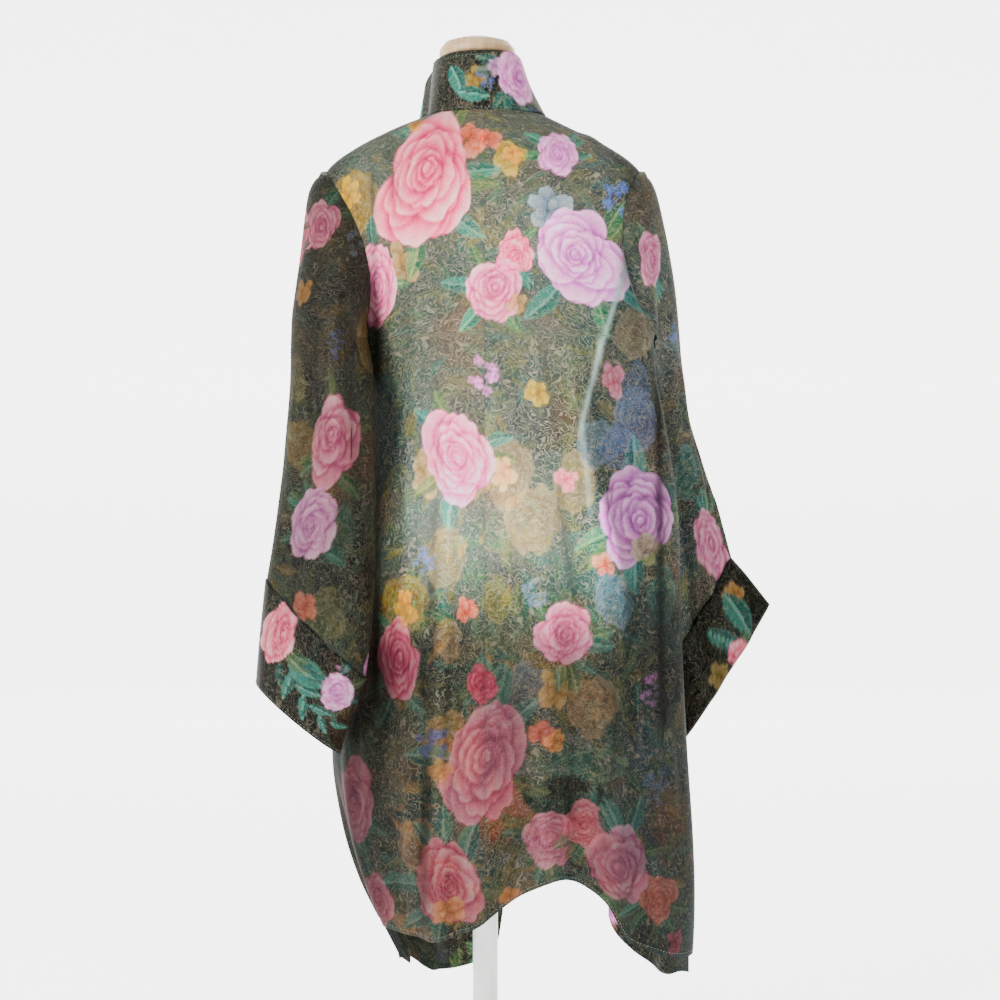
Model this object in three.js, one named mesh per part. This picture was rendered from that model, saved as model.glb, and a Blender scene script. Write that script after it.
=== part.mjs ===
// A sheer kimono, open down the front, on a limbless dress form with a short stand.
// Millimetres, +Z up. The wearer's back faces +Y and the wearer's left is +X.
// The origin is the middle of the stand's underside.

import * as THREE from 'three';

// Walls and gaps
const SHEER_WALL = 1.4;
const SATIN_WALL = 2.2;
const SEAM_HALF_GAP = 0.22;
const NECK_SEAT = 1.9;

// Heights
const NECK_Z = 1054;
const SHOULDER_TIP_Z = 992;
const UNDERARM_Z = 800;
const HEM_ZONE_Z = 450;
const LOWEST_HEM_Z = 110;

// Armhole: half of its width, as an angle round the body
const ARMHOLE_END = 3;
const ARMHOLE_HALF = 36;
const RIGHT_SIDE_SEAM_TURN = 8;
const ARMHOLE_GAP = 2.6;
const BODY_MARGIN = 6;
const EDGE_MARGIN = { armhole: 2.4, underarm: 5.2 };
const UNDERARM_GAP = 3;
const SEAM_HOLD = 70;
const EDGE_PULL = 0.36;

// Band along the fronts and round the neck
const BAND_WIDTH = 60;
const COLLAR_HEIGHT = 64;
const BAND_LIES_FLAT_Z = 936;
const COLLAR_LEAN = 0.12;
const COLLAR_SIDE_LEAN = { left: 0.08, right: 0.46 };
const COLLAR_TURN_POWER = 4;
const COLLAR_FORWARD = { left: 0.3, right: 0.75 };

// Grid steps
const BACK_STEPS = 16;
const FRONT_STEPS = 10;
const SLEEVE_STEPS = 28;
const BAND_STEPS = 3;
const BAND_SEAM = 0.9;
const NECK_STATIONS = 18;

// Stand
const BASE_RADIUS = 150;
const BASE_HEIGHT = 14;
const POLE_RADIUS = 14;
const POLE_STEPS = 16;
const BASE_STEPS = 36;

// Each row is a level section of the body: how far it reaches to the left, right, back and
// front, where its left and right extremes lie from front to back, and how square (below 1)
// or hollow (above 1) its quarters are
const BODY_SECTIONS = [
  { z: 1054, left: 62, right: 65, back: 57, front: 56, leftY: 0, rightY: 0, backPower: 1, hollow: 1 },
  { z: 1038, left: 104, right: 98, back: 68, front: 62, leftY: 0, rightY: 0, backPower: 1, hollow: 1 },
  { z: 1016, left: 147, right: 142, back: 82, front: 74, leftY: 0, rightY: 0, backPower: 1, hollow: 1 },
  { z: 994, left: 176, right: 171, back: 93, front: 86, leftY: 0, rightY: 0, backPower: 1, hollow: 1 },
  { z: 971, left: 184, right: 179, back: 101, front: 97, leftY: 0, rightY: 2, backPower: 1, hollow: 1 },
  { z: 936, left: 180, right: 182, back: 109, front: 110, leftY: 0, rightY: 8, backPower: 1, hollow: 1 },
  { z: 894, left: 168, right: 183, back: 114, front: 122, leftY: -2, rightY: 20, backPower: 1, hollow: 1.05 },
  { z: 852, left: 155, right: 184, back: 117, front: 129, leftY: -6, rightY: 34, backPower: 1.03, hollow: 1.15 },
  { z: 800, left: 144, right: 185, back: 118, front: 129, leftY: -12, rightY: 48, backPower: 1.08, hollow: 1.3 },
  { z: 750, left: 139, right: 189, back: 115, front: 124, leftY: -16, rightY: 58, backPower: 1.12, hollow: 1.4 },
  { z: 680, left: 138, right: 202, back: 111, front: 119, leftY: -20, rightY: 62, backPower: 1.15, hollow: 1.4 },
  { z: 600, left: 145, right: 212, back: 115, front: 117, leftY: -20, rightY: 62, backPower: 1.15, hollow: 1.25 },
  { z: 510, left: 156, right: 215, back: 124, front: 118, leftY: -20, rightY: 56, backPower: 1.12, hollow: 1.1 },
  { z: 420, left: 163, right: 219, back: 126, front: 120, leftY: -20, rightY: 48, backPower: 1.06, hollow: 1 },
  { z: 340, left: 173, right: 224, back: 124, front: 122, leftY: -20, rightY: 38, backPower: 1, hollow: 1 },
  { z: 260, left: 162, right: 230, back: 121, front: 122, leftY: -18, rightY: 30, backPower: 1, hollow: 1 },
  { z: 200, left: 143, right: 233, back: 119, front: 122, leftY: -14, rightY: 24, backPower: 0.98, hollow: 1 },
  { z: 150, left: 118, right: 233, back: 117, front: 122, leftY: -10, rightY: 20, backPower: 0.96, hollow: 1 },
  { z: 110, left: 97, right: 231, back: 116, front: 122, leftY: -8, rightY: 18, backPower: 0.95, hollow: 1 },
];

// Levels at which the panels have a row of points
const PANEL_LEVELS = [
  1054, 1046, 1038, 1027, 1016, 1004, 992, 985, 971, 953, 934, 913, 892, 871, 850, 830, 812, 800,
  775, 750, 715, 680, 640, 600, 555, 510, 465, 420, 380, 340, 300, 260, 230, 200, 175, 150, 130, 110,
];

// Hem height against the distance to the wearer's left, on the back and on the fronts
const BACK_HEM = [
  { x: -240, z: 118 },
  { x: -212, z: 118 },
  { x: -181, z: 129 },
  { x: -154, z: 143 },
  { x: -132, z: 184 },
  { x: -106, z: 205 },
  { x: -82, z: 213 },
  { x: -50, z: 202 },
  { x: -16, z: 181 },
  { x: 14, z: 158 },
  { x: 44, z: 146 },
  { x: 80, z: 150 },
  { x: 110, z: 160 },
  { x: 170, z: 176 },
];
const FRONT_HEM = [
  { x: -245, z: 96 },
  { x: -222, z: 88 },
  { x: -208, z: 80 },
  { x: -193, z: 84 },
  { x: -167, z: 104 },
  { x: -148, z: 129 },
  { x: -140, z: 148 },
  { x: -80, z: 158 },
  { x: -22, z: 146 },
  { x: -15, z: 108 },
  { x: -6, z: 92 },
  { x: 19, z: 77 },
  { x: 60, z: 75 },
  { x: 82, z: 90 },
  { x: 105, z: 110 },
  { x: 170, z: 140 },
];

// Outer line of the band on each front: where the front panel ends
const FRONT_EDGE = [
  { z: 1054, left: 60, right: 63 },
  { z: 1038, left: 76, right: 78 },
  { z: 1016, left: 84, right: 86 },
  { z: 971, left: 86, right: 90 },
  { z: 850, left: 76, right: 104 },
  { z: 680, left: 64, right: 134 },
  { z: 510, left: 54, right: 160 },
  { z: 340, left: 46, right: 184 },
  { z: 110, left: 40, right: 204 },
];

// Folds of the body, one a row: angle round the body from the centre back towards the left,
// its width as an angle, how far it stands out, and the heights between which it shows
const BODY_FOLDS = [
  { angle: 26, spread: 9, out: 9, top: 720, bottom: 60 },
  { angle: 14, spread: 6, out: -8, top: 700, bottom: 60 },
  { angle: 3, spread: 8, out: 6, top: 640, bottom: 60 },
  { angle: 352, spread: 6, out: -7, top: 760, bottom: 60 },
  { angle: 343, spread: 6, out: 7, top: 700, bottom: 60 },
  { angle: 333, spread: 6, out: -9, top: 720, bottom: 60 },
  { angle: 323, spread: 6, out: 9, top: 800, bottom: 60 },
  { angle: 313, spread: 6, out: -7, top: 640, bottom: 60 },
  { angle: 41, spread: 8, out: -6, top: 560, bottom: 60 },
  { angle: 60, spread: 9, out: 7, top: 420, bottom: 60 },
  { angle: 76, spread: 7, out: -7, top: 340, bottom: 60 },
  { angle: 108, spread: 9, out: -7, top: 640, bottom: 60 },
  { angle: 124, spread: 8, out: 8, top: 720, bottom: 60 },
  { angle: 140, spread: 7, out: -6, top: 760, bottom: 60 },
  { angle: 234, spread: 8, out: 7, top: 420, bottom: 60 },
  { angle: 221, spread: 6, out: -6, top: 460, bottom: 60 },
];

// Each row is a section of a sleeve. Heights are those of its outer fold; outer and inner are
// distances from the middle plane, y and depth place it from front to back, slope lifts its
// outer side over its inner side, and turn brings its inner seam round towards the front
const LEFT_SLEEVE_SECTIONS = [
  { z: 988, outer: 182.5, inner: 172, y: 0, depth: 7, slope: 0, arc: 100, turn: 0 },
  { z: 982, outer: 191, inner: 158, y: 0, depth: 26, slope: 0, arc: 104, turn: 0 },
  { z: 967, outer: 198, inner: 146, y: 1, depth: 42, slope: 0, arc: 110, turn: 0 },
  { z: 940, outer: 202, inner: 134, y: 5, depth: 56, slope: 0, arc: 120, turn: 0 },
  { z: 904, outer: 205, inner: 124, y: 16, depth: 63, slope: 0, arc: 136, turn: -4 },
  { z: 862, outer: 209, inner: 120, y: 34, depth: 65, slope: 0, arc: 154, turn: -10 },
  { z: 825, outer: 212, inner: 120, y: 54, depth: 62, slope: 0, arc: 166, turn: -20 },
  { z: 810, outer: 212, inner: 120, y: 62, depth: 60, slope: 0, arc: 174, turn: -28 },
  { z: 801, outer: 212, inner: 120, y: 67, depth: 58, slope: 0, arc: 178, turn: -32 },
  { z: 785, outer: 212, inner: 120, y: 74, depth: 56, slope: 0, arc: 180, turn: -36 },
  { z: 760, outer: 212, inner: 120, y: 80, depth: 54, slope: 0.04, arc: 180, turn: -38 },
  { z: 715, outer: 214, inner: 120, y: 85, depth: 53, slope: 0.12, arc: 180, turn: -36 },
  { z: 665, outer: 218, inner: 119, y: 88, depth: 53, slope: 0.22, arc: 180, turn: -28 },
  { z: 615, outer: 224, inner: 119, y: 91, depth: 53, slope: 0.4, arc: 180, turn: -20 },
  { z: 572, outer: 230, inner: 122, y: 92, depth: 53, slope: 0.7, arc: 180, turn: -12 },
  { z: 536, outer: 236, inner: 130, y: 92, depth: 53, slope: 1, arc: 180, turn: -6 },
];
const LEFT_CUFF_SECTIONS = [
  { z: 535.2, outer: 236.2, inner: 130.2, y: 92, depth: 53, slope: 1, arc: 180, turn: -6 },
  { z: 500, outer: 240, inner: 140, y: 91, depth: 53, slope: 0.98, arc: 180, turn: -3 },
  { z: 460, outer: 244, inner: 151, y: 89, depth: 53, slope: 0.92, arc: 180, turn: 0 },
  { z: 424, outer: 247, inner: 159, y: 87, depth: 52, slope: 0.86, arc: 180, turn: 0 },
];
const RIGHT_SLEEVE_SECTIONS = [
  { z: 988, outer: 177.5, inner: 167, y: 0, depth: 7, slope: 0, arc: 100, turn: 0 },
  { z: 982, outer: 185, inner: 152, y: 0, depth: 26, slope: 0, arc: 104, turn: 0 },
  { z: 967, outer: 192, inner: 142, y: -1, depth: 42, slope: 0, arc: 110, turn: 0 },
  { z: 940, outer: 199, inner: 132, y: -4, depth: 54, slope: 0, arc: 120, turn: 0 },
  { z: 904, outer: 207, inner: 128, y: -12, depth: 58, slope: 0, arc: 136, turn: 4 },
  { z: 862, outer: 215, inner: 127, y: -26, depth: 58, slope: 0, arc: 154, turn: 10 },
  { z: 825, outer: 220, inner: 129, y: -42, depth: 54, slope: 0, arc: 166, turn: 20 },
  { z: 810, outer: 222, inner: 131, y: -50, depth: 52, slope: 0, arc: 174, turn: 26 },
  { z: 801, outer: 223, inner: 132, y: -55, depth: 50, slope: 0, arc: 178, turn: 30 },
  { z: 785, outer: 225, inner: 134, y: -62, depth: 48, slope: 0, arc: 180, turn: 32 },
  { z: 760, outer: 229, inner: 140, y: -68, depth: 46, slope: 0.04, arc: 180, turn: 34 },
  { z: 715, outer: 236, inner: 149, y: -74, depth: 45, slope: 0.14, arc: 180, turn: 30 },
  { z: 665, outer: 252, inner: 163, y: -75, depth: 42, slope: 0.35, arc: 180, turn: 24 },
  { z: 622, outer: 264, inner: 176, y: -72, depth: 38, slope: 0.65, arc: 180, turn: 16 },
  { z: 584, outer: 274, inner: 189, y: -68, depth: 33, slope: 1.15, arc: 180, turn: 8 },
  { z: 556, outer: 281, inner: 202, y: -64, depth: 29, slope: 1.7, arc: 180, turn: 0 },
];
const RIGHT_CUFF_SECTIONS = [
  { z: 555.4, outer: 281.8, inner: 203, y: -64, depth: 29, slope: 1.7, arc: 180, turn: 0 },
  { z: 538, outer: 297, inner: 212, y: -61, depth: 28, slope: 1.7, arc: 180, turn: 0 },
  { z: 520, outer: 311, inner: 221, y: -58, depth: 27, slope: 1.66, arc: 180, turn: 0 },
  { z: 502, outer: 325, inner: 230, y: -55, depth: 26, slope: 1.6, arc: 180, turn: 0 },
];

// Folds of a sleeve: place round it as a share from its back edge to its front edge
const SLEEVE_FOLDS = [
  { share: 0.22, spread: 0.05, out: -7, top: 900, bottom: 480 },
  { share: 0.31, spread: 0.05, out: 6, top: 860, bottom: 500 },
  { share: 0.42, spread: 0.04, out: -6, top: 800, bottom: 560 },
  { share: 0.62, spread: 0.06, out: -6, top: 880, bottom: 520 },
  { share: 0.75, spread: 0.05, out: 5, top: 840, bottom: 540 },
];

// The form's torso, one section a row; x moves a section towards the wearer's left
const FORM_SECTIONS = [
  { z: 1120, left: 38, right: 38, back: 38, front: 38, x: 9 },
  { z: 1097, left: 39, right: 39, back: 39, front: 39, x: 8 },
  { z: 1074, left: 45, right: 45, back: 45, front: 45, x: 5 },
  { z: 1054, left: 59, right: 62, back: 54, front: 53, x: 0 },
  { z: 1038, left: 102.4, right: 96.4, back: 66, front: 60, x: 0 },
  { z: 1016, left: 145, right: 140, back: 80, front: 72, x: 0 },
  { z: 994, left: 165, right: 160, back: 90, front: 83, x: 0 },
  { z: 961, left: 164, right: 161, back: 97, front: 92, x: 0 },
  { z: 919, left: 143, right: 156, back: 103, front: 106, x: 0 },
  { z: 887, left: 132, right: 152, back: 105, front: 114, x: 0 },
  { z: 840, left: 122, right: 142, back: 103, front: 119, x: 0 },
  { z: 798, left: 114, right: 131, back: 96, front: 112, x: 0 },
  { z: 755, left: 104, right: 118, back: 87, front: 99, x: 0 },
  { z: 710, left: 96, right: 107, back: 82, front: 90, x: 0 },
  { z: 655, left: 104, right: 120, back: 88, front: 87, x: 0 },
  { z: 600, left: 120, right: 138, back: 99, front: 89, x: 0 },
  { z: 550, left: 133, right: 150, back: 107, front: 93, x: 0 },
  { z: 500, left: 139, right: 156, back: 110, front: 95, x: 0 },
  { z: 450, left: 138, right: 154, back: 106, front: 94, x: 0 },
  { z: 428, left: 134, right: 150, back: 103, front: 92, x: 0 },
];
const FORM_STEPS = 36;
const CAP_RADIUS = 43;
const CAP_BOTTOM_Z = 1120.4;
const CAP_TOP_Z = 1143;

// Colours and finish
const sheer = new THREE.MeshStandardMaterial({ color: 0x2f4a3d, roughness: 0.8 });
const satin = new THREE.MeshStandardMaterial({ color: 0x2b5f55, roughness: 0.35 });
const formCover = new THREE.MeshStandardMaterial({ color: 0xe9e4da, roughness: 0.7 });
const paleWood = new THREE.MeshStandardMaterial({ color: 0xd9c39a, roughness: 0.5 });
const whitePaint = new THREE.MeshStandardMaterial({ color: 0xf2f1ee, roughness: 0.4 });

const rad = THREE.MathUtils.degToRad;
const mix = THREE.MathUtils.lerp;

// A smooth value between a table's rows: the key column is in order, either way
function between(table, key, at, column) {
  const down = table[0][key] > table[table.length - 1][key];
  const order = down ? -1 : 1;
  let row = 0;
  while (row < table.length - 2 && order * at > order * table[row + 1][key]) row += 1;
  const here = table[row];
  const next = table[row + 1];
  const before = table[Math.max(row - 1, 0)];
  const after = table[Math.min(row + 2, table.length - 1)];
  const span = next[key] - here[key];
  const share = THREE.MathUtils.clamp((at - here[key]) / span, 0, 1);
  const slope = (a, b) => (a === b ? 0 : ((b[column] - a[column]) / (b[key] - a[key])) * span);
  const start = slope(before, next);
  const end = slope(here, after);
  const s2 = share * share;
  const s3 = s2 * share;
  return (
    (2 * s3 - 3 * s2 + 1) * here[column]
    + (s3 - 2 * s2 + share) * start
    + (3 * s2 - 2 * s3) * next[column]
    + (s3 - s2) * end
  );
}

// A soft ridge or trough: 1 in the middle, 0 past one spread either side
function ridge(distance, spread) {
  const share = Math.abs(distance) / spread;
  return share >= 1 ? 0 : 0.5 + 0.5 * Math.cos(Math.PI * share);
}

// How much of a fold shows at a height
function foldShare(fold, z) {
  const rise = THREE.MathUtils.smoothstep(fold.top - z, 0, 0.45 * (fold.top - fold.bottom));
  return rise * THREE.MathUtils.smoothstep(z - fold.bottom, -20, 40);
}

// A point of a level section, without folds. The angle runs from the centre back (0) by the
// left side (90) and the centre front (180) to the right side (270)
function sectionPoint(section, angle) {
  const sine = Math.sin(rad(angle));
  const cosine = Math.cos(rad(angle));
  const leftSide = sine >= 0;
  const atBack = cosine >= 0;
  const sideY = leftSide ? section.leftY : section.rightY;
  let power = 1;
  if (atBack && leftSide) power = section.backPower;
  if (!atBack && !leftSide) power = section.hollow;
  const across = Math.abs(sine) ** power * (leftSide ? section.left : -section.right);
  const reach = atBack ? section.back - sideY : -(section.front + sideY);
  return new THREE.Vector2(across, sideY + Math.abs(cosine) ** power * reach);
}

function bodySection(z) {
  const section = {};
  for (const column of Object.keys(BODY_SECTIONS[0])) {
    section[column] = between(BODY_SECTIONS, 'z', z, column);
  }
  return section;
}

// A point of the body's inner face, with its folds
function bodyPoint(angle, z) {
  const section = bodySection(z);
  const flat = sectionPoint(section, angle);
  const along = sectionPoint(section, angle + 1.5).sub(sectionPoint(section, angle - 1.5));
  const outward = new THREE.Vector2(-along.y, along.x).normalize().negate();
  if (outward.dot(flat) < 0) outward.negate();
  let out = 0;
  for (const fold of BODY_FOLDS) {
    const turn = ((((angle - fold.angle) % 360) + 540) % 360) - 180;
    out += fold.out * ridge(turn, fold.spread) * foldShare(fold, z);
  }
  flat.addScaledVector(outward, out);
  return new THREE.Vector3(flat.x, flat.y, z);
}

// The angle on the front at which the body is a given distance to the left
function frontAngle(x, z) {
  const section = bodySection(z);
  const reach = x >= 0 ? section.left : section.right;
  const power = x >= 0 ? 1 : section.hollow;
  const turn = THREE.MathUtils.radToDeg(Math.asin(Math.min(Math.abs(x) / reach, 1) ** (1 / power)));
  return x >= 0 ? 180 - turn : 180 + turn;
}

function armholeHalf(z) {
  const share = (SHOULDER_TIP_Z - z) / (SHOULDER_TIP_Z - UNDERARM_Z);
  if (share <= 0 || share >= 1) return 0;
  return ARMHOLE_END + ARMHOLE_HALF * Math.sqrt(1 - (2 * share - 1) ** 2);
}

// The side seam's angle: on the right it lies a little to the front of the side fold
function sideSeam(side, z) {
  if (side === 'left') return 90;
  return 270 - RIGHT_SIDE_SEAM_TURN * THREE.MathUtils.smoothstep(SHOULDER_TIP_Z - z, 0, 160);
}

// The height of a panel's point: rows below the hem zone close up to the hem
function hemmedHeight(level, hem, x) {
  if (level >= HEM_ZONE_Z) return level;
  const lowest = between(hem, 'x', x, 'z');
  const share = (HEM_ZONE_Z - level) / (HEM_ZONE_Z - LOWEST_HEM_Z);
  return HEM_ZONE_Z - share * (HEM_ZONE_Z - lowest);
}

// A closed wall on a grid of points, grid[row][column]. It is as thick as said, outward from
// the points, and a ring's columns close on themselves
function wall(grid, thickness, ring = false) {
  const rows = grid.length;
  const columns = grid[0].length;
  const inner = grid.map((line) => line.map((point) => point.clone()));
  if (!ring) {
    for (const line of inner) {
      const first = line[1].clone().sub(line[0]).setLength(SEAM_HALF_GAP);
      const last = line[columns - 2].clone().sub(line[columns - 1]).setLength(SEAM_HALF_GAP);
      line[0].add(first);
      line[columns - 1].add(last);
    }
  }
  const at = (row, column) => {
    const safeColumn = ring ? (column + columns) % columns : THREE.MathUtils.clamp(column, 0, columns - 1);
    return inner[THREE.MathUtils.clamp(row, 0, rows - 1)][safeColumn];
  };
  const outer = inner.map((line, row) => line.map((point, column) => {
    const across = at(row, column + 1).clone().sub(at(row, column - 1));
    const down = at(row + 1, column).clone().sub(at(row - 1, column));
    return point.clone().addScaledVector(across.cross(down).normalize(), thickness);
  }));
  const places = [...inner.flat(), ...outer.flat()];
  const faces = [];
  const id = (layer, row, column) => layer * rows * columns + row * columns + (column % columns);
  const quad = (a, b, c, d) => faces.push(a, b, c, a, c, d);
  const last = ring ? columns : columns - 1;
  for (let row = 0; row < rows - 1; row += 1) {
    for (let column = 0; column < last; column += 1) {
      quad(id(1, row, column), id(1, row, column + 1), id(1, row + 1, column + 1), id(1, row + 1, column));
      quad(id(0, row, column), id(0, row + 1, column), id(0, row + 1, column + 1), id(0, row, column + 1));
    }
  }
  for (let column = 0; column < last; column += 1) {
    quad(id(0, 0, column), id(0, 0, column + 1), id(1, 0, column + 1), id(1, 0, column));
    const end = rows - 1;
    quad(id(0, end, column), id(1, end, column), id(1, end, column + 1), id(0, end, column + 1));
  }
  if (!ring) {
    for (let row = 0; row < rows - 1; row += 1) {
      quad(id(0, row, 0), id(1, row, 0), id(1, row + 1, 0), id(0, row + 1, 0));
      const end = columns - 1;
      quad(id(0, row, end), id(0, row + 1, end), id(1, row + 1, end), id(1, row, end));
    }
  }
  return closedGeometry(places, faces);
}

function closedGeometry(places, faces) {
  let volume = 0;
  for (let i = 0; i < faces.length; i += 3) {
    const [a, b, c] = [places[faces[i]], places[faces[i + 1]], places[faces[i + 2]]];
    volume += a.dot(b.clone().cross(c));
  }
  if (volume < 0) faces.reverse();
  const geometry = new THREE.BufferGeometry();
  const flat = places.flatMap((place) => [place.x, place.y, place.z]);
  geometry.setAttribute('position', new THREE.Float32BufferAttribute(flat, 3));
  geometry.setIndex(faces);
  geometry.computeVertexNormals();
  return geometry;
}

// A panel between two edges that are angles at each level
function panel(startAngle, endAngle, steps, hem) {
  return PANEL_LEVELS.map((level) => {
    const line = [];
    for (let step = 0; step <= steps; step += 1) {
      const guess = mix(startAngle(level), endAngle(level), step / steps);
      const z = hemmedHeight(level, hem, bodyPoint(guess, level).x);
      const angle = mix(startAngle(z), endAngle(z), step / steps);
      line.push(bodyPoint(angle, z));
    }
    return line;
  });
}

function bandEdgeAngle(side, z) {
  const across = between(FRONT_EDGE, 'z', z, side);
  return frontAngle(side === 'left' ? across : -across, z);
}

// One row of a sleeve or cuff: from the back edge round the outside to the front edge
function sleeveRow(side, section, steps, closed) {
  const sign = side === 'left' ? 1 : -1;
  const middle = 0.5 * (section.outer + section.inner);
  const half = 0.5 * (section.outer - section.inner);
  const points = [];
  const count = closed ? steps : steps + 1;
  for (let step = 0; step < count; step += 1) {
    const share = step / steps;
    const angle = section.arc * (1 - 2 * share) - section.turn;
    let across = half * Math.cos(rad(angle));
    let depth = section.depth * Math.sin(rad(angle));
    const z = section.z + section.slope * (across - half);
    let out = 0;
    for (const fold of SLEEVE_FOLDS) {
      out += fold.out * ridge(share - fold.share, fold.spread) * foldShare(fold, section.z);
    }
    across += out * Math.cos(rad(angle));
    depth += out * Math.sin(rad(angle));
    points.push(new THREE.Vector3(sign * (middle + across), section.y + depth, z));
  }
  return points;
}

// The same rows with their points in the other order, which turns a wall's outside over
function turnedOver(grid) {
  return grid.map((line) => line.slice().reverse());
}

// Moves a point that lies inside the body, or closer to it than a margin, out to that margin
function clearOfBody(point, margin) {
  const section = bodySection(point.z);
  const leftSide = point.x >= 0;
  const sideY = leftSide ? section.leftY : section.rightY;
  const depth = point.y - sideY;
  const atBack = depth >= 0;
  let power = 1;
  if (atBack && leftSide) power = section.backPower;
  if (!atBack && !leftSide) power = section.hollow;
  const width = (leftSide ? section.left : section.right) + margin;
  const reach = (atBack ? section.back - sideY : section.front + sideY) + margin;
  const inside = (Math.abs(point.x) / width) ** (2 / power) + (Math.abs(depth) / reach) ** (2 / power);
  if (inside >= 1) return point;
  const grow = inside ** (-power / 2);
  return new THREE.Vector3(point.x * grow, sideY + depth * grow, point.z);
}

// Draws a sleeve's edges to the body's armhole, or to each other below the underarm
function sleeveGrid(side, sections) {
  return sections.map((section) => {
    const line = sleeveRow(side, section, SLEEVE_STEPS, false);
    const first = line[0];
    const last = line[line.length - 1];
    let backEdge = first.clone().lerp(last, 0.5);
    let frontEdge = backEdge;
    if (section.z <= UNDERARM_Z) {
      const underarm = bodyPoint(sideSeam(side, section.z), section.z);
      underarm.x += side === 'left' ? UNDERARM_GAP : -UNDERARM_GAP;
      const hold = THREE.MathUtils.smoothstep(section.z, UNDERARM_Z - SEAM_HOLD, UNDERARM_Z);
      backEdge.lerp(underarm, hold);
    } else {
      const half = armholeHalf(Math.min(section.z, SHOULDER_TIP_Z - 1));
      const seam = sideSeam(side, section.z);
      const toBack = side === 'left' ? -half : half;
      backEdge = bodyPoint(seam + toBack, section.z);
      frontEdge = bodyPoint(seam - toBack, section.z);
      const outward = side === 'left' ? ARMHOLE_GAP : -ARMHOLE_GAP;
      backEdge.x += outward;
      frontEdge.x += outward;
    }
    const moveBack = backEdge.clone().sub(first);
    const moveFront = frontEdge.clone().sub(last);
    return line.map((point, step) => {
      const share = step / SLEEVE_STEPS;
      const backPull = Math.max(0, 1 - share / EDGE_PULL) ** 2;
      const frontPull = Math.max(0, 1 - (1 - share) / EDGE_PULL) ** 2;
      const moved = point.clone().addScaledVector(moveBack, backPull).addScaledVector(moveFront, frontPull);
      const low = THREE.MathUtils.smoothstep(UNDERARM_Z + 60 - section.z, 0, 45);
      const atEdge = mix(EDGE_MARGIN.armhole, EDGE_MARGIN.underarm, low);
      const margin = Math.min(BODY_MARGIN, atEdge + 40 * Math.min(share, 1 - share));
      return clearOfBody(moved, margin);
    });
  });
}

// The band: up the left front, round the neck and down the right front, each row across it
function frontBandRow(side, level) {
  const sign = side === 'left' ? 1 : -1;
  const across = (z) => sign * between(FRONT_EDGE, 'z', z, side);
  const z = hemmedHeight(level, FRONT_HEM, across(level));
  const line = [];
  const flatness = THREE.MathUtils.smoothstep(NECK_Z - z, 0, NECK_Z - BAND_LIES_FLAT_Z);
  const start = bodyPoint(frontAngle(across(z), z), z);
  for (let step = 0; step <= BAND_STEPS; step += 1) {
    const x = across(z) - sign * (BAND_WIDTH * step) / BAND_STEPS;
    const height = hemmedHeight(level, FRONT_HEM, x);
    line.push(bodyPoint(frontAngle(x, height), height));
  }
  if (flatness >= 1) return line;
  const upright = new THREE.Vector3(-COLLAR_SIDE_LEAN[side] * sign, -COLLAR_FORWARD[side], 1).normalize();
  const flatWay = line[BAND_STEPS].clone().sub(start);
  const way = upright.clone().multiplyScalar(COLLAR_HEIGHT).lerp(flatWay, flatness).normalize();
  const lift = new THREE.Vector3(0, 0, NECK_SEAT * (1 - flatness) ** 2).addScaledVector(way, BAND_SEAM);
  return line.map((point, step) => {
    const flat = point.clone().sub(start);
    const raised = upright.clone().multiplyScalar((COLLAR_HEIGHT * step) / BAND_STEPS);
    const width = mix(raised.length(), flat.length(), flatness);
    const direction = raised.lerp(flat, flatness);
    if (width > 0) direction.setLength(width);
    return start.clone().add(direction).add(lift);
  });
}

function neckBandRow(angle) {
  const start = bodyPoint(angle, NECK_Z);
  const inward = new THREE.Vector3(-start.x, -start.y, 0).normalize();
  const sideways = Math.abs(Math.sin(rad(angle))) ** COLLAR_TURN_POWER;
  const side = angle > 180 ? 'right' : 'left';
  const forward = sideways * COLLAR_FORWARD[side];
  const lean = mix(COLLAR_LEAN, COLLAR_SIDE_LEAN[side], sideways);
  const rise = new THREE.Vector3(0, -forward, 1).addScaledVector(inward, lean).normalize();
  return Array.from({ length: BAND_STEPS + 1 }, (_, step) => (
    start.clone()
      .addScaledVector(rise, (COLLAR_HEIGHT * step) / BAND_STEPS)
      .add(new THREE.Vector3(0, 0, NECK_SEAT))
  ));
}

function bandGrid() {
  const levels = PANEL_LEVELS.slice(1);
  const leftTurn = bandEdgeAngle('left', NECK_Z);
  const rightTurn = bandEdgeAngle('right', NECK_Z) - 360;
  const rows = levels.slice().reverse().map((level) => frontBandRow('left', level));
  for (let station = 0; station <= NECK_STATIONS; station += 1) {
    const angle = mix(leftTurn, rightTurn, station / NECK_STATIONS);
    rows.push(neckBandRow((angle + 360) % 360));
  }
  rows.push(...levels.map((level) => frontBandRow('right', level)));
  return rows;
}

// A solid of stacked level sections with flat ends
function loft(sections, steps) {
  const places = [];
  const faces = [];
  for (const section of sections) {
    for (let step = 0; step < steps; step += 1) {
      const turn = (2 * Math.PI * step) / steps;
      const sine = Math.sin(turn);
      const cosine = Math.cos(turn);
      const x = section.x + sine * (sine >= 0 ? section.left : section.right);
      const y = cosine * (cosine >= 0 ? section.back : section.front);
      places.push(new THREE.Vector3(x, y, section.z));
    }
  }
  const top = places.push(new THREE.Vector3(sections[0].x, 0, sections[0].z)) - 1;
  const bottom = places.push(new THREE.Vector3(0, 0, sections[sections.length - 1].z)) - 1;
  const lastRow = (sections.length - 1) * steps;
  for (let step = 0; step < steps; step += 1) {
    const next = (step + 1) % steps;
    faces.push(top, next, step, bottom, lastRow + step, lastRow + next);
    for (let row = 0; row < lastRow; row += steps) {
      faces.push(row + step, row + next, row + steps + next);
      faces.push(row + step, row + steps + next, row + steps + step);
    }
  }
  return closedGeometry(places, faces);
}

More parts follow.
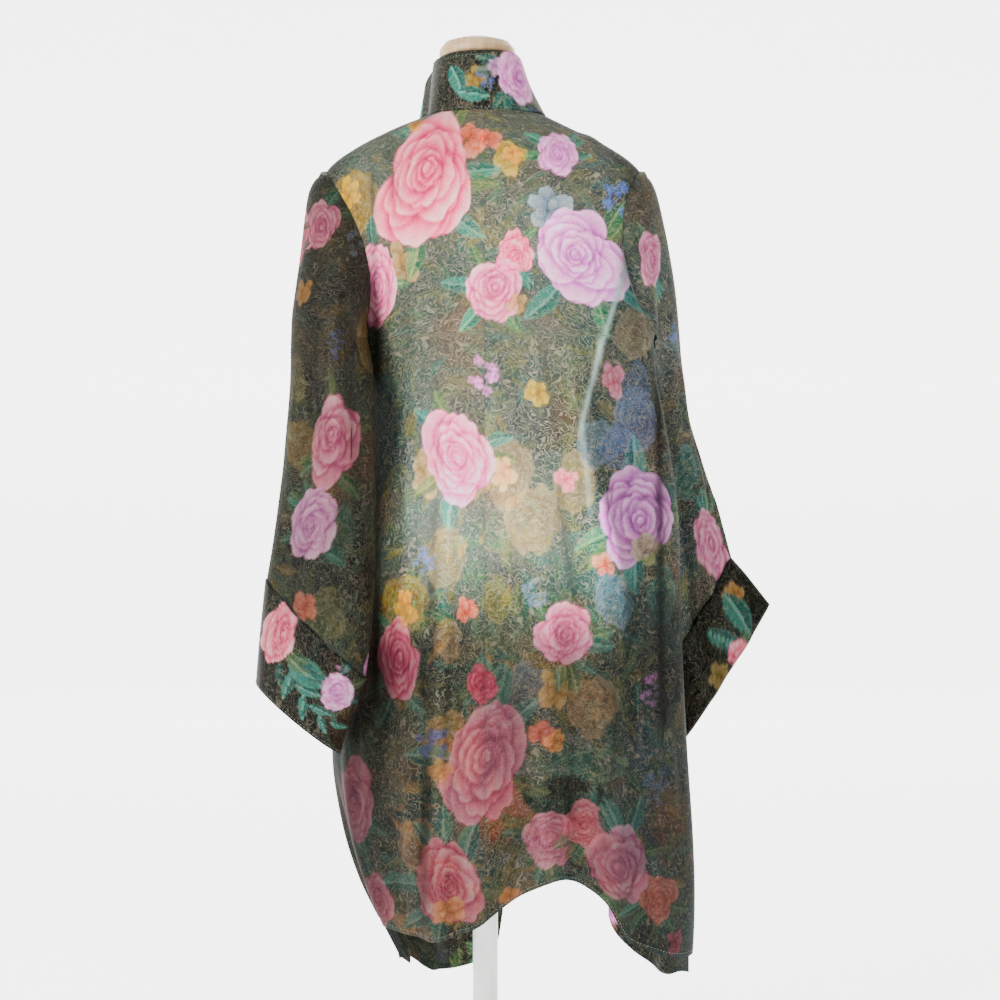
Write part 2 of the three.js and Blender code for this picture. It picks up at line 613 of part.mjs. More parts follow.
function turned(outline, steps) {
  const profile = outline.map(([radius, height]) => new THREE.Vector2(radius, height));
  return new THREE.LatheGeometry(profile, steps).rotateX(Math.PI / 2);
}

const kimono = new THREE.Group();

function add(name, geometry, material) {
  const mesh = new THREE.Mesh(geometry, material);
  mesh.name = name;
  kimono.add(mesh);
}

const leftArmholeBack = (z) => sideSeam('left', z) - armholeHalf(z);
const leftArmholeFront = (z) => sideSeam('left', z) + armholeHalf(z);
const rightArmholeBack = (z) => sideSeam('right', z) + armholeHalf(z);
const rightArmholeFront = (z) => sideSeam('right', z) - armholeHalf(z);

add('back_left', wall(panel(() => 0, leftArmholeBack, BACK_STEPS, BACK_HEM), SHEER_WALL), sheer);
add('back_right', wall(panel(rightArmholeBack, () => 360, BACK_STEPS, BACK_HEM), SHEER_WALL), sheer);
add(
  'front_left',
  wall(panel(leftArmholeFront, (z) => bandEdgeAngle('left', z), FRONT_STEPS, FRONT_HEM), SHEER_WALL),
  sheer,
);
add(
  'front_right',
  wall(panel((z) => bandEdgeAngle('right', z), rightArmholeFront, FRONT_STEPS, FRONT_HEM), SHEER_WALL),
  sheer,
);
add('sleeve_left', wall(sleeveGrid('left', LEFT_SLEEVE_SECTIONS), SHEER_WALL), sheer);
add('sleeve_right', wall(turnedOver(sleeveGrid('right', RIGHT_SLEEVE_SECTIONS)), SHEER_WALL), sheer);

function cuff(side, sections) {
  const rows = sections.map((section) => sleeveRow(side, section, SLEEVE_STEPS, true));
  return wall(side === 'left' ? rows : turnedOver(rows), SATIN_WALL, true);
}

add('cuff_left', cuff('left', LEFT_CUFF_SECTIONS), satin);
add('cuff_right', cuff('right', RIGHT_CUFF_SECTIONS), satin);
add('collar_band', wall(turnedOver(bandGrid()), SATIN_WALL), satin);

add('form_torso', loft(FORM_SECTIONS, FORM_STEPS), formCover);
add(
  'neck_cap',
  turned(
    [
      [0, CAP_BOTTOM_Z],
      [CAP_RADIUS - 2, CAP_BOTTOM_Z],
      [CAP_RADIUS, CAP_BOTTOM_Z + 3],
      [CAP_RADIUS - 1, CAP_BOTTOM_Z + 9],
      [CAP_RADIUS * 0.84, CAP_TOP_Z - 6],
      [CAP_RADIUS * 0.5, CAP_TOP_Z - 1.4],
      [CAP_RADIUS * 0.2, CAP_TOP_Z],
      [0, CAP_TOP_Z],
    ],
    FORM_STEPS,
  ).translate(FORM_SECTIONS[0].x, 0, 0),
  paleWood,
);
const torsoBottom = FORM_SECTIONS[FORM_SECTIONS.length - 1].z;
const STAND_GAP = 0.3;
add(
  'stand_pole',
  turned(
    [
      [0, BASE_HEIGHT + STAND_GAP],
      [POLE_RADIUS, BASE_HEIGHT + STAND_GAP],
      [POLE_RADIUS, torsoBottom - STAND_GAP],
      [0, torsoBottom - STAND_GAP],
    ],
    POLE_STEPS,
  ),
  whitePaint,
);
add(
  'stand_base',
  turned(
    [
      [0, 0],
      [BASE_RADIUS - 2, 0],
      [BASE_RADIUS, 2],
      [BASE_RADIUS, 6],
      [BASE_RADIUS * 0.8, 10],
      [BASE_RADIUS * 0.2, BASE_HEIGHT],
      [0, BASE_HEIGHT],
    ],
    BASE_STEPS,
  ),
  whitePaint,
);

export default kimono;
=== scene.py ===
import math

import bpy
import numpy as np
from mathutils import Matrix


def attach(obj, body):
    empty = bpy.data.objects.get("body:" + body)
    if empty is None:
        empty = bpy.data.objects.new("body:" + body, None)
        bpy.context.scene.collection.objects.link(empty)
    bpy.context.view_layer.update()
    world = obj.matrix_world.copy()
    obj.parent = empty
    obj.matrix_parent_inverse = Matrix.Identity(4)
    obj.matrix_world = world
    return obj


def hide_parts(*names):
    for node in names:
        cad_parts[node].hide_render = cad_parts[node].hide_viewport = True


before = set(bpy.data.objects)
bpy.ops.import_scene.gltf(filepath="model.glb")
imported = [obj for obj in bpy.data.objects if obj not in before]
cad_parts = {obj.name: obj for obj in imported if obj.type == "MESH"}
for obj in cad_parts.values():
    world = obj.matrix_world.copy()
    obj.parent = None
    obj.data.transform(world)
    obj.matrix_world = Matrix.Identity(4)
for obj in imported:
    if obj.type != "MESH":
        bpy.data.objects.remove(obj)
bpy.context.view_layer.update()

MM = 0.001
SHEER_LIFT, SATIN_LIFT = 0.7, 1.1  # the thin shells lie in the middle of the solids' walls
SATIN_THICKNESS = 2.0
NECK_Z, SHOULDER_TIP_Z, UNDERARM_Z = 1054, 992, 800
CUFF_LAP = 1.6  # how far a cuff laps the sleeve's end
HEM_ZONE_Z, LOWEST_HEM_Z = 450, 110
STEP = 1.75  # spacing of the cloth's points, in millimetres


# Sizes, in millimetres
def numbers(text):
    """Rows of numbers, parted by commas."""
    return np.array([row.split() for row in text.split(",")], float)


def table(columns, text):
    """Rows of numbers with named columns, as one array a column."""
    return dict(zip(columns.split(), numbers(text).T))


BODY = table("z left right back front leftY rightY backPower hollow", """
    1054 62 65 57 56 0 0 1 1,
    1038 104 98 68 62 0 0 1 1,
    1016 147 142 82 74 0 0 1 1,
    994 176 171 93 86 0 0 1 1,
    971 184 179 101 97 0 2 1 1,
    936 180 182 109 110 0 8 1 1,
    894 168 183 114 122 -2 20 1 1.05,
    852 155 184 117 129 -6 34 1.03 1.15,
    800 144 185 118 129 -12 48 1.08 1.3,
    750 139 189 115 124 -16 58 1.12 1.4,
    680 138 202 111 119 -20 62 1.15 1.4,
    600 145 212 115 117 -20 62 1.15 1.25,
    510 156 215 124 118 -20 56 1.12 1.1,
    420 163 219 126 120 -20 48 1.06 1,
    340 173 224 124 122 -20 38 1 1,
    260 162 230 121 122 -18 30 1 1,
    200 143 233 119 122 -14 24 0.98 1,
    150 118 233 117 122 -10 20 0.96 1,
    110 97 231 116 122 -8 18 0.95 1
""")
BACK_HEM = table("x z", """
    -240 118, -212 118, -181 129, -154 143, -132 184, -106 205, -82 213, -50 202, -16 181, 14 158, 44 146,
    80 150, 110 160, 170 176
""")
FRONT_HEM = table("x z", """
    -245 96, -222 88, -208 80, -193 84, -167 104, -148 129, -140 148, -80 158, -22 146, -15 108, -6 92, 19 77,
    60 75, 82 90, 105 110, 170 140
""")
FRONT_EDGE = table("z left right", """
    1054 60 63, 1038 76 78, 1016 84 86, 971 86 90, 850 76 104, 680 64 134, 510 54 160, 340 46 184, 110 40 204
""")
# Angle, spread, how far out, top, bottom
FOLDS = numbers("""
    26 9 9 720 60, 14 6 -8 700 60, 3 8 6 640 60, 352 6 -7 760 60, 343 6 7 700 60, 333 6 -9 720 60,
    323 6 9 800 60, 313 6 -7 640 60, 41 8 -6 560 60, 60 9 7 420 60, 76 7 -7 340 60, 108 9 -7 640 60,
    124 8 8 720 60, 140 7 -6 760 60, 234 8 7 420 60, 221 6 -6 460 60
""")
SLEEVE_COLUMNS = "z outer inner y depth slope arc turn"
SLEEVE = {
    "left": table(SLEEVE_COLUMNS, """
    988 182.5 172 0 7 0 100 0,
    982 191 158 0 26 0 104 0,
    967 198 146 1 42 0 110 0,
    940 202 134 5 56 0 120 0,
    904 205 124 16 63 0 136 -4,
    862 209 120 34 65 0 154 -10,
    825 212 120 54 62 0 166 -20,
    810 212 120 62 60 0 174 -28,
    801 212 120 67 58 0 178 -32,
    785 212 120 74 56 0 180 -36,
    760 212 120 80 54 0.04 180 -38,
    715 214 120 85 53 0.12 180 -36,
    665 218 119 88 53 0.22 180 -28,
    615 224 119 91 53 0.4 180 -20,
    572 230 122 92 53 0.7 180 -12,
    536 236 130 92 53 1 180 -6
    """),
    "right": table(SLEEVE_COLUMNS, """
    988 177.5 167 0 7 0 100 0,
    982 185 152 0 26 0 104 0,
    967 192 142 -1 42 0 110 0,
    940 199 132 -4 54 0 120 0,
    904 207 128 -12 58 0 136 4,
    862 215 127 -26 58 0 154 10,
    825 220 129 -42 54 0 166 20,
    810 222 131 -50 52 0 174 26,
    801 223 132 -55 50 0 178 30,
    785 225 134 -62 48 0 180 32,
    760 229 140 -68 46 0.04 180 34,
    715 236 149 -74 45 0.14 180 30,
    665 252 163 -75 42 0.35 180 24,
    622 264 176 -72 38 0.65 180 16,
    584 274 189 -68 33 1.15 180 8,
    556 281 202 -64 29 1.7 180 0
    """),
}
CUFF = {
    "left": table(SLEEVE_COLUMNS, """
    535.2 236.2 130.2 92 53 1 180 -6,
    500 240 140 91 53 0.98 180 -3,
    460 244 151 89 53 0.92 180 0,
    424 247 159 87 52 0.86 180 0
    """),
    "right": table(SLEEVE_COLUMNS, """
    555.4 281.8 203 -64 29 1.7 180 0,
    538 297 212 -61 28 1.7 180 0,
    520 311 221 -58 27 1.66 180 0,
    502 325 230 -55 26 1.6 180 0
    """),
}
# Share of the sleeve's width, spread, how far out, top, bottom
SLEEVE_FOLDS = numbers("""
    0.22 0.05 -7 900 480, 0.31 0.05 6 860 500, 0.42 0.04 -6 800 560, 0.62 0.06 -6 880 520, 0.75 0.05 5 840 540
""")


# The cloth's form
def smoothstep(x, low=0.0, high=1.0):
    t = np.clip((np.asarray(x, float) - low) / (high - low), 0, 1)
    return t * t * (3 - 2 * t)


def mix(a, b, t):
    return a + (b - a) * t


def unit(vectors):
    return vectors / np.maximum(np.linalg.norm(vectors, axis=-1, keepdims=True), 1e-9)


def between(tab, key, at, column):
    """A smooth value between a table's rows."""
    keys, values = tab[key], tab[column]
    at = np.asarray(at, float)
    order = -1 if keys[0] > keys[-1] else 1
    row = np.searchsorted(order * keys[1:-1], order * at, side="left")
    before = np.maximum(row - 1, 0)
    after = np.minimum(row + 2, len(keys) - 1)
    span = keys[row + 1] - keys[row]
    t = np.clip((at - keys[row]) / span, 0, 1)
    start = (values[row + 1] - values[before]) / (keys[row + 1] - keys[before]) * span
    end = (values[after] - values[row]) / (keys[after] - keys[row]) * span
    return ((2 * t**3 - 3 * t**2 + 1) * values[row] + (t**3 - 2 * t**2 + t) * start
            + (3 * t**2 - 2 * t**3) * values[row + 1] + (t**3 - t**2) * end)


def ridge(distance, spread):
    """A round ridge, 1 at its middle and 0 from its spread on."""
    share = np.minimum(np.abs(distance) / spread, 1)
    return 0.5 + 0.5 * np.cos(np.pi * share)


def fold_share(top, bottom, z):
    """How deep a fold is at a height, as a share."""
    return smoothstep(top - z, 0, 0.45 * (top - bottom)) * smoothstep(z - bottom, -20, 40)


def columns_at(tab, z):
    return {name: between(tab, "z", z, name) for name in tab if name != "z"}


def section_power(s, left, back):
    return np.where(back & left, s["backPower"], np.where(~back & ~left, s["hollow"], 1.0))


def section_point(s, angle):
    """A point of the body's outline at one level; the angle runs from the back to the wearer's left."""
    sine, cosine = np.sin(np.radians(angle)), np.cos(np.radians(angle))
    left, back = sine >= 0, cosine >= 0
    side_y = np.where(left, s["leftY"], s["rightY"])
    power = section_power(s, left, back)
    across = np.abs(sine) ** power * np.where(left, s["left"], -s["right"])
    reach = np.where(back, s["back"] - side_y, -(s["front"] + side_y))
    return across, side_y + np.abs(cosine) ** power * reach


def body_point(angle, z):
    """Points of the body's inner face with its folds, in millimetres."""
    angle, z = np.broadcast_arrays(np.asarray(angle, float), np.asarray(z, float))
    s = columns_at(BODY, z)
    x, y = section_point(s, angle)
    ahead, behind = section_point(s, angle + 1.5), section_point(s, angle - 1.5)
    ox, oy = ahead[1] - behind[1], -(ahead[0] - behind[0])
    size = np.hypot(ox, oy)
    turn = np.where(ox * x + oy * y < 0, -1.0, 1.0) / size
    out = np.zeros_like(x)
    for place, spread, height, top, bottom in FOLDS:
        away = (angle - place) % 360
        away = np.where(away > 180, away - 360, away)
        out += height * ridge(away, spread) * fold_share(top, bottom, z)
    return np.stack([x + ox * turn * out, y + oy * turn * out, z], -1)


def front_angle(x, z):
    """The angle of the front's point that lies a distance from the middle."""
    s = columns_at(BODY, z)
    reach = np.where(x >= 0, s["left"], s["right"])
    power = np.where(x >= 0, 1.0, s["hollow"])
    turn = np.degrees(np.arcsin(np.minimum(np.abs(x) / reach, 1) ** (1 / power)))
    return np.where(x >= 0, 180 - turn, 180 + turn)


def armhole_half(z):
    share = (SHOULDER_TIP_Z - np.asarray(z, float)) / (SHOULDER_TIP_Z - UNDERARM_Z)
    round_part = 3 + 36 * np.sqrt(np.clip(1 - (2 * share - 1) ** 2, 0, 1))
    return np.where((share <= 0) | (share >= 1), 0.0, round_part)


def side_seam(side, z):
    if side == "left":
        return np.full_like(np.asarray(z, float), 90.0)
    return 270 - 8 * smoothstep(SHOULDER_TIP_Z - np.asarray(z, float), 0, 160)


def hemmed_height(level, hem, x):
    """A level's height once the hem's line has drawn the lowest levels up or down."""
    lowest = between(hem, "x", x, "z")
    share = (HEM_ZONE_Z - level) / (HEM_ZONE_Z - LOWEST_HEM_Z)
    return np.where(level >= HEM_ZONE_Z, level, HEM_ZONE_Z - share * (HEM_ZONE_Z - lowest))


def levels(step):
    return np.linspace(NECK_Z, LOWEST_HEM_Z, int((NECK_Z - LOWEST_HEM_Z) / step) + 1)


def panel(start, end, width, hem, step):
    """Points of a panel between two edges that are angles at each level."""
    level = levels(step)[:, None] * np.ones((1, int(width / step) + 1))
    share = np.linspace(0, 1, level.shape[1])[None, :] * np.ones_like(level)
    guess = mix(start(level), end(level), share)
    z = hemmed_height(level, hem, body_point(guess, level)[..., 0])
    return body_point(mix(start(z), end(z), share), z)


def sleeve_rows(side, tab, z, count, closed):
    """Rows of a sleeve or cuff, from the back edge round the outside to the front edge."""
    sign = 1 if side == "left" else -1
    s = {name: value[:, None] for name, value in columns_at(tab, z).items()}
    steps = count if closed else count - 1
    share = (np.arange(count) / steps)[None, :]
    half, middle = 0.5 * (s["outer"] - s["inner"]), 0.5 * (s["outer"] + s["inner"])
    angle = np.radians(s["arc"] * (1 - 2 * share) - s["turn"])
    across, depth = half * np.cos(angle), s["depth"] * np.sin(angle)
    height = z[:, None] + s["slope"] * (across - half)
    out = 0
    for place, spread, size, top, bottom in SLEEVE_FOLDS:
        out = out + size * ridge(share - place, spread) * fold_share(top, bottom, z)[:, None]
    across, depth = across + out * np.cos(angle), depth + out * np.sin(angle)
    return np.stack([sign * (middle + across), s["y"] + depth, height], -1)


def clear_of_body(p, margin):
    """Moves points that lie inside the body, or too close to it, out to a margin."""
    s = columns_at(BODY, p[..., 2])
    left = p[..., 0] >= 0
    side_y = np.where(left, s["leftY"], s["rightY"])
    depth = p[..., 1] - side_y
    back = depth >= 0
    power = section_power(s, left, back)
    width = np.where(left, s["left"], s["right"]) + margin
    reach = np.where(back, s["back"] - side_y, s["front"] + side_y) + margin
    inside = (np.abs(p[..., 0]) / width) ** (2 / power) + (np.abs(depth) / reach) ** (2 / power)
    grow = np.where(inside < 1, np.maximum(inside, 1e-6) ** (-power / 2), 1.0)
    return np.stack([p[..., 0] * grow, side_y + depth * grow, p[..., 2]], -1)


UNDERARM_GAP, ARMHOLE_GAP, SEAM_GAP = 3.0, 2.6, 0.4
PULL_SHARE = 0.36  # the share of a sleeve's width that is drawn to its armhole


def sleeve(side, step):
    """Points of a sleeve, drawn to its armhole and kept clear of the body."""
    tab = SLEEVE[side]
    z = np.arange(990.0, tab["z"][-1] - 0.01, -step)
    z[-1] = tab["z"][-1]
    count = int(360 / step) + 1
    p = sleeve_rows(side, tab, z, count, False)
    outward = np.array([1.0 if side == "left" else -1.0, 0, 0])
    middle = 0.5 * (p[:, 0] + p[:, -1])
    seam = side_seam(side, z)
    underarm = body_point(seam, z) + UNDERARM_GAP * outward
    hold = smoothstep(z, UNDERARM_Z - 70, UNDERARM_Z)[:, None]
    closed_edge = mix(middle, underarm, hold)
    half = outward[0] * armhole_half(np.minimum(z, SHOULDER_TIP_Z - 1))
    body_back, body_front = body_point(seam - half, z), body_point(seam + half, z)
    back, front = body_back + ARMHOLE_GAP * outward, body_front + ARMHOLE_GAP * outward
    low = (z <= UNDERARM_Z)[:, None]
    back, front = np.where(low, closed_edge, back), np.where(low, closed_edge, front)
    share = np.linspace(0, 1, count)[None, :, None]
    pull_back = np.maximum(0, 1 - share / PULL_SHARE) ** 2
    pull_front = np.maximum(0, 1 - (1 - share) / PULL_SHARE) ** 2
    moved = p + (back - p[:, 0])[:, None] * pull_back + (front - p[:, -1])[:, None] * pull_front
    at_edge = mix(2.4, 5.2, smoothstep(UNDERARM_Z + 60 - z, 0, 45))[:, None]
    margin = np.minimum(6, at_edge + 40 * np.minimum(share[..., 0], 1 - share[..., 0]))
    moved = clear_of_body(moved, margin)
    top_back, top_front = body_back + SEAM_GAP * outward, body_front + SEAM_GAP * outward
    above = smoothstep(z, UNDERARM_Z, UNDERARM_Z + 12)[:, None, None]
    near_back = smoothstep(1 - share / 0.05) * above
    near_front = smoothstep(1 - (1 - share) / 0.05) * above
    moved = moved + (top_back - moved[:, 0])[:, None] * near_back
    return moved + (top_front - moved[:, -1])[:, None] * near_front


def cuff(side, step):
    """Points of a cuff, whose top laps the sleeve's end."""
    tab = CUFF[side]
    z = np.linspace(tab["z"][0], tab["z"][-1], int((tab["z"][0] - tab["z"][-1]) * 1.3 / step) + 1)
    rows = sleeve_rows(side, tab, z, int(340 / step), True)
    up = rows[0] - rows[1]
    rows[0] += CUFF_LAP * unit(up)
    return rows


BAND_WIDTH, COLLAR_HEIGHT, COLLAR_LEAN, BAND_SEAM = 60.0, 64.0, 0.12, 0.9
COLLAR_RISE = np.array([0, 0, 1.9])  # clear of the body's top edge
COLLAR_FORWARD = {"left": 0.3, "right": 0.75}
COLLAR_SIDE_LEAN = {"left": 0.08, "right": 0.46}


def front_band(side, level, across):
    """Rows of the band up one front; across runs from its outer edge to its free edge."""
    sign = 1 if side == "left" else -1
    edge_x = sign * between(FRONT_EDGE, "z", level, side)
    z = hemmed_height(level, FRONT_HEM, edge_x)
    edge = sign * between(FRONT_EDGE, "z", z, side)
    x = edge[:, None] - sign * BAND_WIDTH * across[None, :]
    height = hemmed_height(level[:, None] * np.ones_like(x), FRONT_HEM, x)
    line = body_point(front_angle(x, height), height)
    start = body_point(front_angle(edge, z), z)
    flatness = smoothstep(NECK_Z - z, 0, NECK_Z - 936)[:, None]
    upright = unit(np.array([-COLLAR_SIDE_LEAN[side] * sign, -COLLAR_FORWARD[side], 1.0]))
    way = unit(mix(upright * COLLAR_HEIGHT, line[:, -1] - start, flatness))
    lift = way * BAND_SEAM + COLLAR_RISE * (1 - flatness) ** 2
    flat = line - start[:, None]
    raised = upright * (COLLAR_HEIGHT * across)[None, :, None]
    f = flatness[:, None]
    width = mix(*(np.linalg.norm(way, axis=-1, keepdims=True) for way in (raised, flat)), f)
    bent = start[:, None] + unit(mix(raised, flat, f)) * width + lift[:, None]
    return np.where(f >= 1, line, bent)


def band(step):
    """Points of the band: up the left front, round the neck and down the right front."""
    across = np.linspace(-0.05, 1, int(BAND_WIDTH / step) + 2)
    level = levels(step)[1:]
    left = front_band("left", level[::-1], across)
    right = front_band("right", level, across)
    left_turn = float(front_angle(between(FRONT_EDGE, "z", NECK_Z, "left"), NECK_Z))
    right_turn = float(front_angle(-between(FRONT_EDGE, "z", NECK_Z, "right"), NECK_Z)) - 360
    angle = np.linspace(left_turn, right_turn, int(320 / step)) % 360
    start = body_point(angle, NECK_Z)
    inward = unit(-start * np.array([1, 1, 0]))
    sideways = np.abs(np.sin(np.radians(angle))) ** 4
    forward = sideways * np.where(angle > 180, COLLAR_FORWARD["right"], COLLAR_FORWARD["left"])
    side_lean = np.where(angle > 180, COLLAR_SIDE_LEAN["right"], COLLAR_SIDE_LEAN["left"])
    upward = np.stack([0 * angle, -forward, 1 + 0 * angle], -1)
    rise = unit(inward * mix(COLLAR_LEAN, side_lean, sideways)[:, None] + upward)
    neck = start[:, None] + rise[:, None] * (COLLAR_HEIGHT * across)[None, :, None] + COLLAR_RISE
    return np.concatenate([left, neck, right])


def normals(p, ring=False):
    across = np.roll(p, -1, 1) - np.roll(p, 1, 1) if ring else np.gradient(p, axis=1)
    return unit(np.cross(across, np.gradient(p, axis=0)))


# The printed pattern
CAMERA_Y, CAMERA_Z, CAMERA_X = 2600.0, 612.0, -16.5
MM_PER_PIXEL, PLANE_Y, IMAGE_ROW = 1.1, 60.0, 509.6


def to_image(p):
    """Where points in millimetres show in the picture, in its pixels."""
    f = (CAMERA_Y - PLANE_Y) / (CAMERA_Y - p[..., 1]) / MM_PER_PIXEL
    return 500 - (p[..., 0] - CAMERA_X) * f, IMAGE_ROW + (CAMERA_Z - p[..., 2]) * f


AIM_DEPTH, OUT_OF_REACH = 50, 1e5


class Cloth:
    """A grid of points with its own flat coordinates, in millimetres, and its painted colours."""

    def __init__(self, name, p, relief, ring):
        self.name, self.p, self.n, self.relief, self.ring = name, p, normals(p, ring), relief, ring
        along = np.linalg.norm(np.diff(p, axis=1), axis=-1)
        self.u = np.concatenate([np.zeros((len(p), 1)), np.cumsum(along, 1)], 1)
        self.u -= self.u[:, self.u.shape[1] // 2][:, None]
        down = np.linalg.norm(np.diff(p, axis=0), axis=-1).mean(1)
        self.v = np.concatenate([[0.0], np.cumsum(down)])[:, None] * np.ones_like(self.u)
        self.rgb, self.local = None, None
        self.flower, self.thick = np.zeros(p.shape[:2]), np.zeros(p.shape[:2])

    def aim(self, point, normal):
        """Lays local flat coordinates about a point, seen mostly from where the picture was taken."""
        normal = unit(0.3 * normal + np.array([0, 0.7, 0]))
        across = unit(np.array([-normal[1], normal[0], 0.0]))
        away = self.p - point
        is_near = (np.abs(away @ normal) < AIM_DEPTH) & (self.n @ normal > 0.0)
        self.local = np.where(is_near, away @ across, OUT_OF_REACH), away @ np.cross(across, normal)

    def stamp(self, u0, v0, radius):
        """The part of the grid within a radius of a place, and its offsets from that place."""
        across, down = self.local or (self.u, self.v)
        near = (np.abs(across - u0) < radius) & (np.abs(down - v0) < radius)
        if near.sum() < 4:
            return None
        rows, columns = (np.nonzero(near.any(axis))[0] for axis in (1, 0))
        cut = (slice(rows[0], rows[-1] + 1), slice(columns[0], columns[-1] + 1))
        return cut, across[cut] - u0, down[cut] - v0

    def tint(self, weight, colour):
        """Mixes a colour into the ground and the flowers alike."""
        self.rgb = self.rgb * (1 - weight[..., None]) + colour * weight[..., None]

    def paint(self, cut, colour, mask, flower=1.0):
        """Lays a motif's colours on a part of the grid and notes how much of it is flower."""
        m = mask[..., None]
        self.rgb[cut] = self.rgb[cut] * (1 - m) + colour * m
        self.flower[cut] = np.maximum(self.flower[cut] * (1 - mask), mask * flower)


def ramp(tone, colours):
    """Colours along a scale from 0 to 1."""
    places = np.linspace(0, 1, len(colours))
    return np.stack([np.interp(np.clip(tone, 0, 1), places, colours[:, i]) for i in range(3)], -1)


def hexes(words):
    """Colours from hexadecimal words."""
    return np.array([[int(word[i:i + 2], 16) / 255 for i in (0, 2, 4)] for word in words.split()])


# Name, deep, body, light, edge
PALETTES = {row.split()[0]: hexes(row.split(None, 1)[1]) for row in """
    rose 8c2444 d45a76 f08e9c fcc4c8, lilac 843a78 c87cb6 eeaed4 fcdaec,
    violet 6a2c66 a85c98 d48cbc f0bedc, mauve 86305a c86488 ea94aa fac6d0,
    coral 94281e d85c4e f08a7a fab8a4, orange 8a4416 d08440 ecb06e f6d6a2,
    ochre 6a4a1c a8803e cca868 e4cc98, tan 6e5236 a07c58 c4a07a dcc4a0,
    crimson 6a1028 b43050 d86070 f0a0a4, blue 2a3660 4c5c8c 7684ac a8b4cc,
    grey 384656 667488 98a4ae c4ccce, peach 9a5a44 d09478 eab898 f8dcc0,
    teal 0c3434 226058 4e8c7c 94bcA8, green 143a26 34664a 648e68 a4ba8c,
    olive 34381c 66683a 94925c c0bc88, moss 1c3426 3e5a3e 66784e 98a070,
    navy 1a2036 303a5c 515c80 8490a8, dark 06140f 0b2019 142e26 24443a
""".split(",")}


def wobble(x, y, seed, scale):
    """Smooth random variation about 0, up to about 1."""
    rng = np.random.default_rng(seed)
    total = 0
    for _ in range(5):
        angle, size = rng.uniform(0, 2 * math.pi), scale * rng.uniform(0.6, 1.8)
        total = total + np.sin((x * math.cos(angle) + y * math.sin(angle)) / size + rng.uniform(0, 6.28))
    return total / 3.2


def turned(du, dv, angle, width, height):
    """Offsets turned to a motif's own axes and measured in its half width and half height."""
    c, s = math.cos(math.radians(angle)), math.sin(math.radians(angle))
    return (du * c + dv * s) / width, (-du * s + dv * c) / height


ROSE_LAYERS = (
    # distance from the heart, half width, half length, petals
    (0.56, 0.46, 0.44, 6), (0.46, 0.42, 0.42, 5), (0.34, 0.38, 0.37, 5), (0.23, 0.31, 0.31, 5),
    (0.14, 0.25, 0.23, 4), (0.07, 0.17, 0.16, 3), (0.03, 0.10, 0.09, 2),
)
BLOOM_LAYERS = ((0.52, 0.36, 0.46, 5), (0.34, 0.2, 0.26, 4))


def petals(x, y, layers, rng, lean, fine):
    """The tone and mask of a flower's overlapping petals, each with a pale rim and a shadow under it."""
    tone, mask = np.zeros_like(x), np.zeros_like(x)
    for away, wide, long, count in layers:
        first = rng.uniform(0, 2 * math.pi)
        for i in range(count):
            way = first + 2 * math.pi * (i + rng.uniform(-0.32, 0.32)) / count
            out = away * rng.uniform(0.68, 1.12)
            cx = lean[0] * (1 - away) + out * math.cos(way)
            cy = lean[1] * (1 - away) + out * math.sin(way)
            c, s = math.cos(way), math.sin(way)
            size = rng.uniform(0.72, 1.2)
            along = ((x - cx) * c + (y - cy) * s) / (long * size)
            across = (-(x - cx) * s + (y - cy) * c) / (wide * size)
            rim = 1 - 0.12 * np.exp(-(across / 0.22) ** 2) * (along > 0) + 0.04 * np.sin(6 * across + 9 * i)
            depth = (rim - np.hypot(along, across)) * wide
            inside = smoothstep(depth / (1.6 * fine) + 0.5)
            shadow = np.exp(-(np.minimum(depth, 0) / 0.075) ** 2) * (1 - inside)
            tone = tone * (1 - 0.5 * shadow)
            bright = rng.uniform(-0.1, 0.1)
            petal = 0.58 + bright + 0.26 * np.clip(along, -1, 1) + 0.16 * np.exp(-(depth / 0.06) ** 2)
            petal = petal - 0.3 * np.exp(-(depth / (0.7 * fine)) ** 2)
            petal = petal - 0.05 * np.cos(across * 11 + along * 2)
            tone = tone * (1 - inside) + petal * inside
            mask = np.maximum(mask, inside)
    return tone, mask


def flower(cloth, u, v, width, height, angle, palette, seed, layers, strength):
    found = cloth.stamp(u, v, 1.3 * max(width, height))
    if found is None:
        return
    cut, du, dv = found
    x, y = turned(du, dv, angle, width, height)
    rng = np.random.default_rng(seed)
    x, y = x + 0.11 * wobble(x, y, seed, 0.4), y + 0.11 * wobble(x, y, seed + 1, 0.4)
    tone, mask = petals(x, y, layers, rng, rng.uniform(-0.2, 0.2, 2), 2.2 / (width + height))
    cloth.paint(cut, ramp(tone, PALETTES[palette]), mask * strength, strength)


def rose(*where_and_how, strength=0.97):
    """A full flower of many petals."""
    flower(*where_and_how, ROSE_LAYERS, strength)


def bloom(*where_and_how, strength=0.66):
    """A small open flower."""
    flower(*where_and_how, BLOOM_LAYERS, strength)


def leaf(cloth, u, v, width, height, angle, palette, seed, strength=0.9):
    """A pointed leaf with a middle vein and side veins; width is its half length."""
    found = cloth.stamp(u, v, 1.1 * max(width, height))
    if found is None:
        return
    cut, du, dv = found
    x, y = turned(du, dv, angle, width, height)
    bend = 0.25 * math.sin(seed * 1.7)
    y = y - bend * (1 - x * x)
    rim = np.clip(1 - x * x, 0, 1) ** 0.85 * (1 - 0.25 * x)
    edge = rim - np.abs(y)
    mask = smoothstep(edge / 0.25) * strength
    veins = 0.5 + 0.5 * np.cos((x * 7 - np.abs(y) * 2.4) * 3.1)
    tone = 0.34 + 0.16 * np.sign(y) + 0.22 * veins * np.abs(y)
    tone = np.where(np.abs(y) < 0.12, 0.85, tone)
    tone = np.where((edge < 0.22) & (edge > 0), 0.72, tone)
    cloth.paint(cut, ramp(tone, PALETTES[palette]), mask, 0.5)


